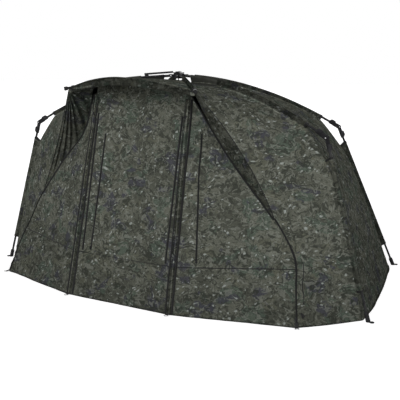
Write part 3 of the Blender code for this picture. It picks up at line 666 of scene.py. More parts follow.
def roof_line(kind, side):
    start = PATCH_RADIUS / RIBS[kind].reach
    end = ROOF_END_SHARE if kind in LEGGED else 1
    return [roof_skin(kind, side, start + (end - start) * row / ROOF_ROWS) for row in range(ROOF_ROWS + 1)]


def wall_shares():
    """How far down the walls' rows lie: they follow the points of the free front edge."""
    line = [*free_edge(1), *zip_line(1)[TIP_KNOT + 1:]]
    return [1 - max(point.z, HEM_LIFT) / line[0].z for point in line]


def frame_line(kind, side):
    return [*roof_line(kind, side), *[leg_skin(kind, side, share) for share in wall_shares()[1:]]]


def on_ground_or_above(points):
    return [Vector((p.x, p.y, max(p.z, HEM_LIFT))) for p in points]


def front_line(side):
    return on_ground_or_above(
        [*roof_line("front", side), *free_edge(side)[1:], *zip_line(side)[TIP_KNOT + 1:]])


def bow_shift(across_share):
    swell = 1 - np.abs(across_share) ** BOW_POWER
    return np.stack([0 * swell, -BOW_FORWARD * swell, BOW_RISE * swell], axis=-1)


def peak_grid(columns):
    grid = between(roof_line("front", -1), roof_line("front", 1), columns)
    shares = np.linspace(-1, 1, columns + 1)
    parts = np.linspace(0, 1, ROOF_ROWS + 1) ** 2
    grid += bow_shift(shares)[None] * parts[:, None, None]
    deep = BRIM_DEPTH * (1 - shares ** 2 / 2)
    lip = [grid[-1] + np.stack([0 * deep, BRIM_SET_BACK * (deep / BRIM_DEPTH) * t ** 2, -deep * t], axis=-1)
           for t in LIP_SHARES]
    return np.concatenate([grid, np.array(lip)])


def wall_strip(first, last, columns):
    """A strip over two legs, its hem pegged out a little past the straight line between the feet."""
    grid = between(frame_line(*first), frame_line(*last), columns)
    across = np.linspace(0, 1, columns + 1)
    bulge = HEM_BULGE * np.array(wall_shares())[:, None] ** 2 * 4 * across * (1 - across)
    grid[ROOF_ROWS:] += bulge[..., None] * np.array((outward(*first) + outward(*last)).normalized())
    return pull_taut(grid, TAUT_PASSES)


strips = [wall_strip(("back", -1), ("back", 1), 40), peak_grid(40)]
for side in SIDES.values():
    strips.append(wall_strip(("side", side), ("back", side), 30))
    strips.append(pull_taut(between(front_line(side), frame_line("side", side), 36), TAUT_PASSES))
canopy = cloth_mesh("canopy", strips, camo_look)
print("canopy faces", len(canopy.data.polygons))

# %% [markdown]
# Even taut cloth is never perfect. Broad waves, small puckers and folds that fan out of the
# pegged corners are added along the normals, and they fade out where a rib or a zip holds the
# cloth. They come from a fixed noise, so each run gives the same tent.


# %% Waves and pull folds
FAN_START = 0.10
WAVE_PITCH = 3.1
PUCKER_PITCH = 11


def held_tree(lines):
    points = [point for line in lines for point in line]
    tree = KDTree(len(points))
    for index, point in enumerate(points):
        tree.insert(point, index)
    tree.balance()
    return tree


def fan(point, corner, reach, folds, depth):
    """Folds that fan out of a corner and fade with the distance."""
    away = point - corner
    distance = away.length
    if distance > reach or distance < 0.01:
        return 0
    angle = math.atan2(away.z, math.hypot(away.x, away.y))
    fade = (1 - distance / reach) ** 2 * min(1, distance / FAN_START)
    wander = 4 * noise.noise(corner * 5 + away * 3)
    return depth * fade * math.sin(folds * angle + wander)


def crease(piece, held, corners, wave=0.0045, pucker=0.0012, clear=0.09):
    """Move a sheet's points along their normals, except near the lines that hold it."""
    mesh = piece.data
    found = [(vertex.co.copy(), vertex.normal.copy()) for vertex in mesh.vertices]
    moved = []
    for point, normal in found:
        hold = min(1, held.find(point)[2] / clear)
        hold = hold * hold * (3 - 2 * hold)
        lift = wave * noise.noise(point * WAVE_PITCH) + pucker * noise.noise(point * PUCKER_PITCH + ACROSS * 5)
        lift += sum(fan(point, *corner) for corner in corners)
        moved.append(tuple(point + normal * lift * hold))
    mesh.vertices.foreach_set("co", np.array(moved, np.float32).ravel())
    mesh.update()
    return piece


all_lines = [frame_line(kind, side) for kind in LEGGED for side in (-1, 1)]
all_lines += [front_line(side) for side in (-1, 1)]
all_lines.append([Vector(point) for point in strips[0][-1]])
# Each corner that pulls: the point, how far its folds reach, their number and their depth
pull_corners = [corner for side in (-1, 1) for corner in (
    (front_line(side)[-1], 0.75, 20, 0.0075),
    (foot("side", side), 0.70, 22, 0.0065),
    (foot("back", side), 0.60, 20, 0.0060),
    (roof_skin("front", side, 1), 0.50, 24, 0.0050),
    (leg_skin("side", side, 0.1), 0.45, 24, 0.0060),
    (leg_skin("back", side, 0.1), 0.40, 24, 0.0050))]
refine(canopy, "CATMULL_CLARK")
crease(canopy, held_tree(all_lines), pull_corners)
print("creased canopy points", len(canopy.data.vertices))

# %% [markdown]
# When the tent is put away its four legs fold in under the roof and the walls crumple up below
# the knuckles. So the canopy is cut level with the knuckles into a roof and a skirt below it.

# %% Cutting at the fold, thickness and the ride
FOLD_LEVEL = 0.985
CLOTH = 0.0008
TRIM_CLOTH = 0.0006


def surface_of(piece):
    """The piece's surface for laying other pieces on it."""
    mesh = piece.data
    return BVHTree.FromPolygons([v.co for v in mesh.vertices], [tuple(p.vertices) for p in mesh.polygons])


def cut_level(piece, keep_above):
    made = bmesh.new()
    made.from_mesh(piece.data)
    geometry = made.verts[:] + made.edges[:] + made.faces[:]
    bmesh.ops.bisect_plane(made, geom=geometry, plane_co=(0, 0, FOLD_LEVEL), plane_no=(0, 0, 1),
                           clear_inner=keep_above, clear_outer=not keep_above)
    made.to_mesh(piece.data)
    made.free()


def thicken(piece, thickness=CLOTH):
    shell = piece.modifiers.new("thickness", "SOLIDIFY")
    shell.thickness = thickness
    shell.offset = 0
    bake(piece)
    piece.data.set_sharp_from_angle(angle=math.radians(60))
    return piece


def keep_rest(piece):
    """Remember where each point was made, for the print."""
    kept = piece.data.attributes.new("rest_place", "FLOAT_VECTOR", "POINT")
    kept.data.foreach_set("vector", np.array([v.co for v in piece.data.vertices], np.float32).ravel())


def settle(piece, body=None):
    """Say what a piece moves with; without a body it goes with the root and gets a mesh of its own."""
    keep_rest(piece)
    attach(piece, body or "root")
    if not body:
        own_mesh(piece)
    return piece


def placed(name, grids, look, body=None, thickness=0.0):
    """Make and settle a small piece."""
    made = cloth_mesh(name, grids, look)
    return settle(thicken(made, thickness) if thickness else made, body)


def in_two(piece, upper_name, lower_name, thickness=CLOTH):
    """Cut a sheet at the fold level into an upper and a lower part."""
    lower = piece.copy()
    lower.data = piece.data.copy()
    bpy.context.scene.collection.objects.link(lower)
    halves = []
    for half, above, name in ((piece, True, upper_name), (lower, False, lower_name)):
        half.name = name
        cut_level(half, above)
        if not half.data.polygons:
            bpy.data.objects.remove(half)
            continue
        if thickness:
            thicken(half, thickness)
        halves.append(settle(half, "root" if above else None))
    return halves


def cloth_area(piece):
    """The area of one side of a thickened sheet."""
    return sum(face.area for face in piece.data.polygons) / 2


canopy_surface = surface_of(canopy)
canopy_roof, canopy_skirt = in_two(canopy, "canopy_roof", "canopy_skirt")
print("roof cloth", round(cloth_area(canopy_roof), 2), "m2, skirt", round(cloth_area(canopy_skirt), 2), "m2")

# %% [markdown]
# ## The front panel
# The panel hangs between the two zip lines and is stretched over the two storm poles, which
# stand behind it. It is flat between the poles and turns back to the zips outside them. The
# middle of it is the door, and below a cross seam is the kick panel.

# %% Front panel cloth
WING_COLUMNS = 14
STRIP_COLUMNS = 3
MIDDLE_COLUMNS = 14


def row_between(stops, columns):
    """A row of points from stop to stop, with so many columns between each pair."""
    row = [a.lerp(b, i / count) for a, b, count in zip(stops, stops[1:], columns) for i in range(count)]
    return [*row, stops[-1]]


def wing_grid(side):
    line = zip_line(side)
    low = line[SEAM_KNOT].z
    rows = []
    for point in line[:SEAM_KNOT + 1]:
        share = (point.z - low) / (POLE_TOP.z - low)
        height = SEAM_HEIGHT + (POLE_TOP.z - SEAM_HEIGHT) * share
        stops = [on_panel(side * DOOR_HALF_WIDTH, height), pole_line(side, height), point]
        rows.append(row_between(stops, [STRIP_COLUMNS, WING_COLUMNS]))
    return rows


def kick_grid():
    left, right = zip_line(-1)[SEAM_KNOT:], zip_line(1)[SEAM_KNOT:]
    rows = []
    for ends in zip(left, right):
        height = max(SEAM_HEIGHT * ends[0].z / left[0].z, HEM_LIFT)
        first, last = on_ground_or_above(ends)
        stops = [first, pole_line(-1, height), on_panel(-DOOR_HALF_WIDTH, height),
                 on_panel(DOOR_HALF_WIDTH, height), pole_line(1, height), last]
        rows.append(row_between(
            stops, [WING_COLUMNS, STRIP_COLUMNS, MIDDLE_COLUMNS, STRIP_COLUMNS, WING_COLUMNS]))
    return rows


front_panel = cloth_mesh("front_panel", [wing_grid(-1), wing_grid(1), kick_grid()], camo_look)
refine(front_panel, "SIMPLE")
front_lines, front_corners = [], []
for side in (-1, 1):
    front_lines += [
        front_line(side),
        [pole_line(side, POLE_TOP.z * i / 60) for i in range(61)],
        [on_panel(side * DOOR_HALF_WIDTH, 0.25 + 0.8 * i / 40) for i in range(41)]]
    front_corners += [
        (front_line(side)[-1], 0.70, 20, 0.0070),
        (pole_line(side, 0), 0.40, 18, 0.0050),
        (pole_line(side, POLE_TOP.z), 0.50, 26, 0.0045)]
front_lines.append([on_panel(DOOR_HALF_WIDTH * (i / 20 - 1), SEAM_HEIGHT) for i in range(41)])
front_held = held_tree(front_lines)
crease(front_panel, front_held, front_corners, 0.0040, 0.0012, 0.07)
front_surface = surface_of(front_panel)
front_halves = in_two(front_panel, "front_panel_upper", "front_panel_lower")
print("front panel cloth", round(sum(cloth_area(half) for half in front_halves), 2), "m2")

# %% [markdown]
# ## The door and the header above it
# The door is its own piece of cloth that hangs from a fold under the header. It takes the place of
# the plain door solid, which is hidden.

# %% Door and header cloth
DOOR_ROWS = 32
DOOR_COLUMNS = 24
HEADER_ROWS = 8
HEADER_CORNER = (DOOR_HALF_WIDTH + 0.0006, DOOR_HALF_WIDTH + 0.012, HEADER_HALF_WIDTH)
HEADER_UNDER_ROOF = 0.004


def door_grid():
    heights = [DOOR_TOP - (DOOR_TOP - SEAM_HEIGHT) * j / DOOR_ROWS for j in range(DOOR_ROWS + 1)]
    places = [DOOR_HALF_WIDTH * (i * 2 / DOOR_COLUMNS - 1) for i in range(DOOR_COLUMNS + 1)]
    return [[on_panel(across, height) for across in places] for height in heights]


def header_grid():
    """Rows from the roof down to the door's top, and beside it down to the poles' heads."""
    over_door = list(np.linspace(-DOOR_HALF_WIDTH, DOOR_HALF_WIDTH, DOOR_COLUMNS + 1))
    places = [-x for x in reversed(HEADER_CORNER)] + over_door + list(HEADER_CORNER)
    rows = []
    for j in range(HEADER_ROWS + 1):
        row = []
        for across in places:
            low = DOOR_TOP if abs(across) <= DOOR_HALF_WIDTH else POLE_TOP.z
            roof = canopy_surface.ray_cast(on_panel(across, DOOR_TOP), UP)[0]
            top = min(HEADER_TOP, roof.z - HEADER_UNDER_ROOF)
            row.append(on_panel(across, top + (low - top) * j / HEADER_ROWS))
        rows.append(row)
    return rows


door = cloth_mesh("door_cloth", [door_grid()], camo_look)
crease(door, front_held, [(on_panel(-0.28, 0.25), 0.5, 18, 0.004), (on_panel(0.28, 1.04), 0.6, 18, 0.004)],
       0.0050, 0.0012, 0.08)
door_surface = surface_of(door)
thicken(door)
keep_rest(door)
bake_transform(door)
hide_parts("door")
header = placed("front_header_cloth", [header_grid()], camo_look, "root", CLOTH)
print("door cloth", round(cloth_area(door), 3), "m2")

# %% [markdown]
# ## The pleated side curtains
# Between the peak's corner and the front panel hangs a gathered curtain that opens with the
# peak. Its pleats all start at the corner and fan out to the zip, and real pleats are uneven,
# so each fold gets its own width and depth.

# %% Curtains
PLEATS = 7
PLEAT_COLUMNS = 16
PLEAT_DEPTH = 0.020
CURTAIN_START_SHARE = 0.06
CURTAIN_ROWS = 44
CURTAIN_UNDER_ROOF = 0.005
CURTAIN_LIFT = 0.06
CURTAIN_LIFT_POWER = 6


def pleat_wave(part):
    """The pleats' wave at a share of the width: unevenly spaced, with rounded tops."""
    turn = PLEATS * part + 0.16 * math.sin(math.tau * 1.7 * part) * math.sin(math.pi * part)
    wave = math.sin(math.tau * turn)
    return wave * (1.5 - 0.5 * wave * wave)


def curtain_grid(side):
    apex, upper = roof_skin("front", side, 1), zip_line(side)[:TIP_KNOT + 1]
    tip = upper[-1]
    bow = edge_bow(side, apex, tip)
    normal = (upper[0] - apex).cross(tip - apex).normalized() * side
    columns = PLEATS * PLEAT_COLUMNS
    rows = []
    for j in range(CURTAIN_ROWS + 1):
        share = CURTAIN_START_SHARE + (1 - CURTAIN_START_SHARE) * j / CURTAIN_ROWS
        row = []
        for i in range(columns + 1):
            part = i / columns
            knot = part * (len(upper) - 1)
            low = min(int(knot), len(upper) - 2)
            end = upper[low].lerp(upper[low + 1], knot - low)
            point = apex.lerp(end, share) + bow * 4 * share * (1 - share) * part ** 2
            roof = canopy_surface.ray_cast(point, UP)[0]
            gap = max(0, min(roof.z - point.z - CURTAIN_UNDER_ROOF, CURTAIN_LIFT)) if roof else 0
            point = point + UP * gap * (1 - part) ** CURTAIN_LIFT_POWER
            uneven = 1 + 0.35 * noise.noise(Vector((part * 9, share * 1.2, side * 4)))
            fold = pleat_wave(part) * PLEAT_DEPTH * uneven * share * (1 - share ** 4)
            row.append(point + normal * fold)
        rows.append(row)
    return rows


for word, side in SIDES.items():
    curtain = cloth_mesh("curtain_" + word, [curtain_grid(side)], curtain_lit_and_shaded_looks[word])
    halves = in_two(curtain, "curtain_upper_" + word, "curtain_lower_" + word)
    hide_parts("curtain_" + word)
    print("curtain", word, round(sum(cloth_area(half) for half in halves), 3), "m2")

# %% [markdown]
# ## Strips that lie on the cloth
# Zips, tapes, seams and sleeves all follow the cloth under them. One helper walks along a line,
# finds the nearest cloth for each point across the strip, and lifts the strip off it by a
# profile. Flat profiles make tapes, and rounded ones make sleeves and coils.


# %% Laying a strip
def finer_line(points, step=0.012):
    """The same line with points at even steps."""
    line = np.array([tuple(p) for p in points])
    lengths = run_lengths(line)
    marks = np.linspace(0, lengths[-1], max(2, int(lengths[-1] / step)) + 1)
    return [Vector(tuple(np.interp(mark, lengths, line[:, axis]) for axis in range(3))) for mark in marks]


def steps_along(line):
    """Each point of a line, with the step from the point before it to the one after it."""
    for index, point in enumerate(line):
        yield point, line[min(index + 1, len(line) - 1)] - line[max(index - 1, 0)]


def nearest_cloth(surface, point):
    place_on, normal, _, _ = surface.find_nearest(point)
    return place_on, normal if normal.dot(place_on - INSIDE) > 0 else -normal


def lay_strip(name, surface, points, profile, look, thickness=TRIM_CLOTH):
    """A strip on the cloth: profile lists (distance across, lift) from one edge to the other."""
    rows = []
    for point, along in steps_along(finer_line(points)):
        across = along.cross(nearest_cloth(surface, point)[1]).normalized()
        wander = 0.0018 * noise.noise(point * 6) + 0.0008 * noise.noise(point * 23)
        row = []
        for distance, lift in profile:
            spot, normal = nearest_cloth(surface, point + across * (distance + wander))
            row.append(spot + normal * (lift + CLOTH))
        rows.append(row)
    piece = cloth_mesh(name, [rows], look)
    return thicken(piece, thickness) if thickness else piece


def flat_profile(width, lift=0.0004, columns=4):
    return [(width * (i / columns - 0.5), lift) for i in range(columns + 1)]


def round_profile(width, height, columns=8):
    return [(width * (i / columns - 0.5), height * math.sin(math.pi * i / columns) ** 0.7 + 0.0003)
            for i in range(columns + 1)]


def circle(steps):
    """The cosine and sine at each step round a full turn."""
    return [(math.cos(math.tau * i / steps), math.sin(math.tau * i / steps)) for i in range(steps + 1)]


print("flat profile of a 10 mm tape", flat_profile(0.010)[0], "to", flat_profile(0.010)[-1])


# %% [markdown]
# ## Sleeves over the ribs and legs
# The canopy hangs from the frame by sleeves, sewn on along both edges: dark cloth near the hub and
# printed cloth further out, its print darkened as painted shade. A sleeve hugs the tube and its two hems lie
# on the canopy. It stops short of the hub and of each knuckle, where the bare tube shows, and again above the
# foot.


# %% Rib and leg sleeves
SLEEVE_RADIUS = 0.0092
SLEEVE_HEMS = (0.017, 0.0125)
HEM_HEIGHT = 0.0013
RING_STEPS = 12
RING_START = 215
RING_TURN = 250
PLAIN_END = 0.30
MOUTH = 0.012
MOUTH_PUFF = 0.001
MOUTH_STEPS = 3


def sleeve(name, points, radial, look, body, puff=0.0):
    """A sleeve from one hem on the canopy, over the tube along the points, to the other hem."""
    rows = []
    for point, along in steps_along(points):
        along = along.normalized()
        out = -inward_normal(along, radial)
        across = along.cross(out).normalized()
        ring = []
        for i in range(RING_STEPS + 1):
            angle = math.radians(RING_START - RING_TURN * i / RING_STEPS)
            reach = SLEEVE_RADIUS * (1 + 0.06 * noise.noise(point * 14 + across * i)) + puff
            ring.append(point + (across * math.cos(angle) + out * math.sin(angle)) * reach)
        hems = []
        for way in (-1, 1):
            for reach in (SLEEVE_HEMS[0] + puff, SLEEVE_HEMS[1]):
                spot, normal = nearest_cloth(canopy_surface, point + across * way * reach - out * SKIN_DROP)
                hems.append(spot + normal * (HEM_HEIGHT + puff))
        rows.append([hems[0], hems[1], *ring, hems[3], hems[2]])
    placed(name, [rows], look, body, TRIM_CLOTH)


def tube_line(kind, side, on_leg, first, last, steps):
    """Points at distances from the hub along a rib, or from the knuckle along a leg."""
    marks = [first + (last - first) * i / steps for i in range(steps + 1)]
    if on_leg:
        return [knuckle(kind, side) + leg_direction(kind, side) * mark for mark in marks]
    return [rib_point(kind, side, mark / RIBS[kind].reach) for mark in marks]


for kind, start, end_share, leg_look in (
        ("side", 0.10, ROOF_END_SHARE, leg_sleeve_painted_shade_look), ("back", 0.10, ROOF_END_SHARE, sleeve_painted_shade_look),
        ("front", 0.23, 0.97, None)):
    for word, side in SIDES.items():
        end = RIBS[kind].reach * end_share
        # Name, on the leg or not, first and last distance, steps, look and how far it puffs out
        parts = [("hub_sleeve_", False, start, PLAIN_END, 16, dark_look, 0.0004),
                 ("rib_sleeve_", False, PLAIN_END - 0.01, end, 50, sleeve_painted_shade_look, 0),
                 ("rib_mouth_", False, end - MOUTH, end + 0.001, MOUTH_STEPS, binding_look, MOUTH_PUFF)]
        if kind in LEGGED:
            high, low = LEG_JOIN - 0.001, (foot(kind, side) - knuckle(kind, side)).length * 0.84
            parts += [("leg_sleeve_", True, LEG_JOIN, low, 60, leg_look, 0),
                      ("leg_mouth_upper_", True, high, high + MOUTH, MOUTH_STEPS, binding_look, MOUTH_PUFF),
                      ("leg_mouth_lower_", True, low - MOUTH, low, MOUTH_STEPS, binding_look, MOUTH_PUFF)]
        for name, on_leg, first, last, steps, look, puff in parts:
            line = tube_line(kind, side, on_leg, first, last, steps)
            body = kind + "_leg_" + word if on_leg else "root"
            sleeve(name + kind + "_" + word, line, outward(kind, side), look, body, puff)
print("sleeves on ribs and legs made")

# %% [markdown]
# ## The patch round the hub
# A plain reinforcement is sewn over the roof where six ribs come together. It reaches further
# along the ribs than between them, and its edge is bound. Rays from above put each of its points on
# the roof, so it takes the shape of the cloth under it.


# %% Hub patch
PATCH_REACH = 0.30
PATCH_SCALLOP = 0.05
PATCH_INNER = 0.036
PATCH_ROWS = 14
PATCH_TURNS = 120


def patch_edge(turn):
    """How far the patch reaches at an angle: its corners lie on the ribs."""
    azimuths = [azimuth for rib in RIBS.values() for azimuth in (rib.azimuth, 180 - rib.azimuth)]
    angles = sorted(math.radians(azimuth) % math.tau for azimuth in azimuths)
    turn %= math.tau
    low = max((a for a in angles if a <= turn), default=angles[-1] - math.tau)
    high = min((a for a in angles if a > turn), default=angles[0] + math.tau)
    return PATCH_REACH - PATCH_SCALLOP * math.sin(math.pi * (turn - low) / (high - low))


def on_roof(turn, reach, lift):
    start = Vector((HUB.x + math.cos(turn) * reach, HUB.y + math.sin(turn) * reach, 2))
    return canopy_surface.ray_cast(start, -UP)[0] + UP * lift


turns = [math.tau * i / PATCH_TURNS for i in range(PATCH_TURNS + 1)]
patch_rows = [[on_roof(turn, PATCH_INNER + (patch_edge(turn) - PATCH_INNER) * j / PATCH_ROWS, 0.0010)
               for turn in turns] for j in range(PATCH_ROWS + 1)]
hub_patch = placed("hub_patch", [patch_rows], dark_look, "root", 0.0005)
edge = [on_roof(turn, patch_edge(turn), 0) for turn in turns]
settle(lay_strip("hub_patch_binding", canopy_surface, edge, flat_profile(0.010, 0.0014), binding_look), "root")
print("hub patch", round(cloth_area(hub_patch), 3), "m2")

# %% [markdown]
# ## Zips, tapes and seams
# A zip is a pair of narrow tapes with the coil between them. The curved zips join the front
# panel to the side walls, two straight ones close the door, and a third on the right wing closes
# a window. Felled seams and the hems are bound with narrow tape. Teeth could be made one by one,
# but from a few metres away a rounded strip with ribs in its finish looks much the same, and it
# needs far fewer faces.


# %% Zips and tapes
def zip_fastener(name, surface, points, tape=0.015, width=0.0090, height=0.0030):
    return [lay_strip(name + "_tape", surface, points, flat_profile(tape), binding_look),
            lay_strip(name + "_coil", surface, points, round_profile(width, height), zip_look)]


def on_front(across, height):
    """The point of the front panel's cloth straight behind a place in front of it."""
    return front_surface.ray_cast(Vector((across, -2, height)), Vector((0, 1, 0)))[0]


def front_run(top, bottom, steps=12):
    places = zip(*(np.linspace(a, b, steps + 1) for a, b in zip(top, bottom)))
    return [on_front(across, height) for across, height in places]


def seam(name, surface, points, look, width, height):
    return lay_strip(name, surface, points, round_profile(width, height), look, 0)


# Along each pole the sleeve is a darker copy of the print, painted shade, and its ridge a lighter one, a
# painted highlight.
# Strips along each storm pole: name, top and bottom (across, height), look, width and height
POLE_STRIPS = (
    ("pole_sleeve_", (0.3165, 1.138), (0.3490, 0.006), pole_sleeve_painted_shade_look, 0.034, 0.0070),
    ("pole_ridge_", (0.3200, 1.138), (0.3560, 0.006), ridge_painted_highlight_look, 0.0040, 0.0088),
    ("pole_piping_", (0.3370, 1.138), (0.3690, 0.006), binding_look, 0.012, 0.0066),
    ("pole_seam_", (0.3080, 1.100), (0.3290, 0.006), binding_look, 0.012, 0.0058))
loose = []
for word, side in SIDES.items():
    whole = zip_line(side)
    reach = side * (DOOR_HALF_WIDTH + 0.0074)
    # Name, the cloth under it, the line and the sizes: width of the tape, width and height of the coil
    for name, surface, points, *sizes in (
            ("edge_zip_", canopy_surface, whole[TIP_KNOT:], 0.018, 0.012, 0.0058),
            ("curtain_zip_", front_surface, whole[:TIP_KNOT + 1], 0.018, 0.011, 0.0045),
            ("door_zip_", front_surface, [on_panel(reach, 0.262), on_panel(reach, 1.045)], 0.013)):
        loose += zip_fastener(name + word, surface, points, *sizes)
    outer = [p + Vector((side * 0.055, 0, 0)) for p in whole[SEAM_KNOT - 3:]]
    loose.append(seam("edge_hem_" + word, canopy_surface, free_edge(side), binding_look, 0.009, 0.002))
    loose.append(seam("hem_seam_" + word, canopy_surface, outer, binding_look, 0.004, 0.001))
    for kind in LEGGED:
        across = outward(kind, side).cross(UP)
        across = across if across.y < 0 else -across
        run = [roof_skin(kind, side, share) + across * 0.030 for share in np.linspace(0.36, 0.86, 30)]
        # A seam ridge along each rib, in the lighter copy of the print: a painted highlight on a real seam.
        loose.append(seam("rib_seam_" + kind + "_" + word, canopy_surface, run, ridge_painted_highlight_look, 0.005, 0.0014))
    for name, top, bottom, *sizes in POLE_STRIPS:
        run = front_run((side * top[0], top[1]), (side * bottom[0], bottom[1]), 24)
        loose.append(seam(name + word, front_surface, run, *sizes))
loose += zip_fastener("window_zip", front_surface, front_run((0.396, 0.955), (0.460, 0.295)), 0.009)
loose.append(seam("cross_seam", front_surface, seam_line(), binding_look, 0.005, 0.0012))
for piece in loose:
    in_two(piece, piece.name + "_upper", piece.name + "_lower", 0)
inner = zip_fastener("inner_zip", door_surface, [on_panel(-0.222, 0.930), on_panel(-0.233, 0.275)], 0.012)
for piece in inner:
    settle(piece, "door_flap")
print("zips and seams", len(loose) + len(inner))

# %% [markdown]
# ## The peak's brim
# A thin bow is sewn into the front edge of the peak. A tube of printed cloth, darkened as painted shade, wraps
# it, a facing of the same darkened cloth covers the brim below it as painted shade, and a row of stitching in
# a lighter copy of the print, a painted highlight, runs behind it. A bevelled curve could make the tube. Rings
# set square to the bow's line do as well, and the function that makes all other cloth can join them.


# %% Brim
BOW_REACH = 0.95
BOW_STEPS = 60
BOW_RADIUS = 0.0043
BOW_SET_FORWARD = 0.0042
FACING_SET_FORWARD = 0.0016


def bow_line():
    edge = roof_skin("front", 1, 1)
    across = np.linspace(-BOW_REACH, BOW_REACH, BOW_STEPS + 1) * edge.x
    shifts = bow_shift(across / edge.x)
    return [Vector((x, edge.y - BOW_SET_FORWARD, edge.z)) + Vector(shift) for x, shift in zip(across, shifts)]


rows = []
for point, along in steps_along(bow_line()):
    along = along.normalized()
    out = along.cross(UP).normalized()
    over = out.cross(along)
    rows.append([point + (out * c + over * s) * BOW_RADIUS for c, s in circle(10)])
placed("brim_tube", [rows], sleeve_painted_shade_look, "root")
# The facing is a darker copy of the print laid on the lip: painted shade.
lip_rows = strips[1][ROOF_ROWS:].copy()
lip_rows[:, :, 1] -= FACING_SET_FORWARD
placed("brim_facing", [lip_rows[:, 1:-1]], sleeve_painted_shade_look, "root", TRIM_CLOTH)
settle(lay_strip("brim_stitching", canopy_surface, strips[1][ROOF_ROWS - 1], flat_profile(0.008), ridge_painted_highlight_look),
       "root")
print("brim pieces made")

# %% [markdown]
# ## The hem on the ground
# The hem is bound all round and its binding lies on the ground. It is laid outward from the last
# row of the cloth's own points, and it narrows at each foot so that the foot stands clear of it.

# %% Hem band
HEM_BAND = 0.007
HEM_BAND_LEAST = 0.003
FOOT_ROOM = 0.03
NARROWING = 0.12
FEET = [foot(kind, side) for kind in LEGGED for side in (-1, 1)]


def hem_band(name, points, surface):
    rows = []
    for point, along in steps_along(finer_line(points, 0.02)):
        out = Vector((along.y, -along.x, 0)).normalized()
        out = out if out.dot(point) > 0 else -out
        clear = min((point - foot_point).length for foot_point in FEET) - FOOT_ROOM
        width = HEM_BAND_LEAST + HEM_BAND * min(1, max(clear, 0) / NARROWING)
        start = nearest_cloth(surface, Vector((point.x, point.y, 0.002)))[0]
        rows.append([(start.x + out.x * width * t, start.y + out.y * width * t,
                      0.0012 + 0.0040 * (1 - t) ** 2 + 0.002 * t * abs(noise.noise(point * 9)))
                     for t in (0, 0.2, 0.45, 0.7, 1)])
    # The band takes the darker print of the leg sleeves: painted shade.
    placed(name, [rows], leg_sleeve_painted_shade_look, None, TRIM_CLOTH)


hem_band("hem_band_front", kick_grid()[-1], front_surface)
hem_band("hem_band_back", strips[0][-1], canopy_surface)
for word, first in (("left", 2), ("right", 4)):
    hem_band("hem_band_side_" + word, strips[first][-1], canopy_surface)
    hem_band("hem_band_corner_" + word, strips[first + 1][-1], canopy_surface)
print("hem bands laid")

# %% [markdown]
# The small pieces are simple shapes: a bent wire ring, a part turned on a lathe and a flat ribbon.
# Each one is a grid of points too, so the function for cloth makes their meshes as well.


# %% Small turned and bent pieces
def directions_across(axis):
    first = axis.orthogonal().normalized()
    return first, axis.cross(first).normalized()


def ring_grid(centre, normal, radius, wire, squeeze=1.0):
    """A wire ring as a closed grid, with its width squeezed along the first direction across."""
    first, second = directions_across(normal)
    outs = [first * c * squeeze + second * s for c, s in circle(24)]
    return [[centre + out * (radius + wire * c) + normal * wire * s for c, s in circle(8)] for out in outs]


def lathe_grid(start, axis, profile):
    """A turned piece: profile lists (distance along the axis, radius)."""
    axis = axis.normalized()
    first, second = directions_across(axis)
    return [[start + axis * far + (first * c + second * s) * radius for c, s in circle(14)]
            for far, radius in profile]


def ribbon_grid(points, across, width):
    return [[point + across * width * (i / 4 - 0.5) for i in range(5)] for point in points]


COLLAR = ((0.035, 0), (0.035, 0.0105), (0.039, 0.0125), (0.060, 0.0125), (0.066, 0.0105), (0.066, 0))
DOME = ((-0.0004, 0.0), (-0.0004, 0.0042), (0.0007, 0.0037), (0.0016, 0.0022), (0.0018, 0.0))
TOGGLE = ((0, 0), (0, 0.0028), (0.004, 0.0043), (0.011, 0.0037), (0.018, 0.0043), (0.022, 0.0028), (0.022, 0))
print("small shapes ready")

# %% [markdown]
# Webbing tabs with a steel ring at their end take the pegs. They are sewn to the hem at the front
# corners, below the storm poles and in the middle of the back. Webbing as short as this keeps its
# shape, so a ribbon bent along a few points does for it and no simulation is needed.

# %% Peg tabs
TAB_WIDTH = 0.020
TAB_PATH = ((-0.002, 0.026), (0.003, 0.012), (0.010, 0.0062), (0.018, 0.0046), (0.026, 0.0044))
RING_REACH = 0.029
tabs = [("back", Vector(strips[0][-1][20]), Vector((0, 1, 0)))]
for word, side in SIDES.items():
    tabs.append(("corner_" + word, front_line(side)[-1], Vector((side * 0.55, -0.83, 0))))
    tabs.append(("pole_" + word, on_panel(side * 0.350, 0), Vector((side * 0.15, -1, 0)).normalized()))
for name, root, out in tabs:
    path = [root + out * far + UP * (level - root.z) for far, level in TAB_PATH]
    tab = ribbon_grid(path, out.cross(UP).normalized(), TAB_WIDTH)
    placed("peg_tab_" + name, [tab], webbing_look, None, 0.0014)
    ring = root + out * RING_REACH
    ring.z = 0.0030
    placed("peg_ring_" + name, [ring_grid(ring, UP, 0.0105, 0.0017)], steel_look)
print("tabs", len(tabs))

# %% [markdown]
# The pins of hub and knuckles end in domed rivets. Moulded collars stiffen the outside of each
# knuckle. They lie a little outward of the tubes, so the leg folds past them. All of them are turned
# shapes, and the rivets of one side are one piece because all of them stay with the ribs.

# %% Rivets and collars
HUB_PIN_REACH = 0.050
PIN_HALF_LENGTH = 0.014
COLLAR_SHIFT = 0.007


def add_rivets(word, side):
    heads = []
    for kind in RIBS:
        radial = outward(kind, side)
        pins = [HUB + radial * HUB_PIN_REACH] + ([knuckle(kind, side)] if kind in LEGGED else [])
        heads += [lathe_grid(pin + radial.cross(UP) * way * PIN_HALF_LENGTH, radial.cross(UP) * way, DOME)
                  for pin in pins for way in (-1, 1)]
    placed("rivets_" + word, heads, steel_look, "root")
    return len(heads)


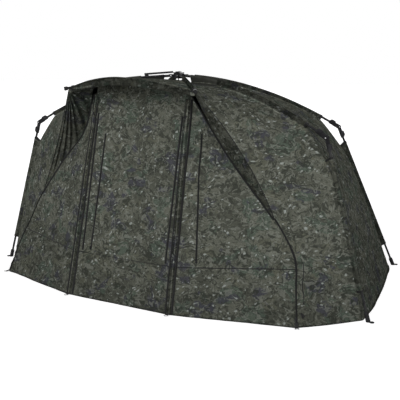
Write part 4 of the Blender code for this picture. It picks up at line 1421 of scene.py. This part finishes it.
def add_collars(kind, word, side):
    pin, down = knuckle(kind, side), leg_direction(kind, side)
    back = (rib_point(kind, side, 0.95) - pin).normalized()
    for label, way, other, body in (("rib", back, down, "root"), ("leg", down, back, kind + "_leg_" + word)):
        outside = (way * other.dot(way) - other).normalized() * COLLAR_SHIFT
        name = label + "_collar_" + kind + "_" + word
        placed(name, [lathe_grid(pin + outside, way, COLLAR)], nylon_look, body)


print("pins end", round(1000 * PIN_HALF_LENGTH), "mm from the middle of their joint")


# %% [markdown]
# Toggles with a loop hold the door when it is rolled up. The sliders of the fixed zips carry a
# pull each. Real ones hang from thin cord, which could be bent from a curve. At this size a turned
# piece, with or without a ring, is enough. It is set just clear of the cloth, so it doesn't sink in.

# %% Toggles and pulls
TOGGLE_CLEAR = 0.013
PULL_CLEAR = 0.006


def add_toggle(word, side):
    spot = on_front(side * 0.318, 1.040) + PANEL_OUT * TOGGLE_CLEAR
    toggle = lathe_grid(spot - UP * 0.011, UP + ACROSS * side * 0.3, TOGGLE)
    loop = ring_grid(spot - UP * 0.012, PANEL_OUT, 0.016, 0.0012, 0.45)
    placed("toggle_" + word, [toggle], nylon_look, "root")
    placed("toggle_loop_" + word, [loop], binding_look, "root")


def add_edge_pull(word, side):
    off = Vector((side * 0.3, -1, 0)).normalized() * PULL_CLEAR
    spot = nearest_cloth(canopy_surface, zip_line(side)[-2])[0] + off
    loop = ring_grid(spot - UP * 0.016, Vector((0, -1, 0.2)).normalized(), 0.010, 0.0014, 0.6)
    placed("edge_pull_" + word, [lathe_grid(spot + UP * 0.012, -UP, TOGGLE), loop], nylon_look)


for word, side in SIDES.items():
    print("rivet heads", word, add_rivets(word, side))
    for kind in LEGGED:
        add_collars(kind, word, side)
    add_toggle(word, side)
    add_edge_pull(word, side)
for name, spot, lean, body in (("window_pull", on_front(0.460, 0.292), 0.4, None),
                               ("inner_pull", on_panel(-0.233, 0.285), 0, "door_flap")):
    top = spot + PANEL_OUT * 0.007 + UP * PULL_CLEAR
    placed(name, [lathe_grid(top, -UP + ACROSS * lean, TOGGLE)], nylon_look, body)
print("toggles and pulls made")

# %% [markdown]
# ## Light, floor and background
# The photo is lit softly from the front, so the front panel and side walls are bright and the
# roof is dark. A broad sun near the camera does that, with weaker ones beside and behind the tent
# and a little light from all round. What the camera sees, also in a mirror or through something
# clear, is a white background.

# %% Studio
def soft_sun(name, azimuth, elevation, strength, spread):
    lamp = bpy.data.lights.new(name, "SUN")
    lamp.energy = strength
    lamp.angle = math.radians(spread)
    new_object(name, lamp).rotation_euler = (math.radians(90 - elevation), 0, math.radians(azimuth + 90))


soft_sun("front_light", -86, 20, 2.26, 40)
soft_sun("side_light", -8, 22, 0.95, 60)
soft_sun("back_light", 110, 24, 0.6, 50)

world = bpy.data.worlds.new("studio")
bpy.context.scene.world = world
world.use_nodes = True
air = Wire(world.node_tree)
ray = [air.node("LightPath", out=index) for index in (0, 3, 6)]
seen = ray[0].maths("MAXIMUM", ray[0], ray[1].maths("MAXIMUM", ray[1], ray[2]))
background = world.node_tree.nodes["Background"]
world.node_tree.links.new(seen.mix(grey(0.16), grey(1.0)).socket, background.inputs["Color"])

FLOOR_HALF = 40
FLOOR_LEVEL = -0.0005
floor_look, start = new_finish("pale_floor", Roughness=0.9, Base_Color=grey(0.80),
                               Specular_IOR_Level=0.1, Emission_Strength=1)
camera_ray = start.node("LightPath")
feed(floor_look, Emission_Color=camera_ray.mix(grey(0), grey(0.70)))
sheet_of_floor = bpy.data.meshes.new("floor")
corners = [(x * FLOOR_HALF, y * FLOOR_HALF, FLOOR_LEVEL) for x, y in ((-1, -1), (1, -1), (1, 1), (-1, 1))]
sheet_of_floor.from_pydata(corners, [], [(0, 1, 2, 3)])
new_piece("floor", sheet_of_floor, floor_look)
bpy.context.scene.view_settings.view_transform = "Standard"
print("studio ready")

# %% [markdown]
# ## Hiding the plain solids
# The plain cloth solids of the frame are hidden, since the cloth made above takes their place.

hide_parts("roof_front", "roof_back", "roof_shoulder_left", "roof_shoulder_right",
            "roof_side_left", "roof_side_right")
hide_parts("wall_side_left", "wall_side_right", "wall_front_left", "wall_front_right",
            "wall_back")
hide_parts("front_panel_left", "front_panel_right")
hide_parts("kick_panel")
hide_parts("front_header")
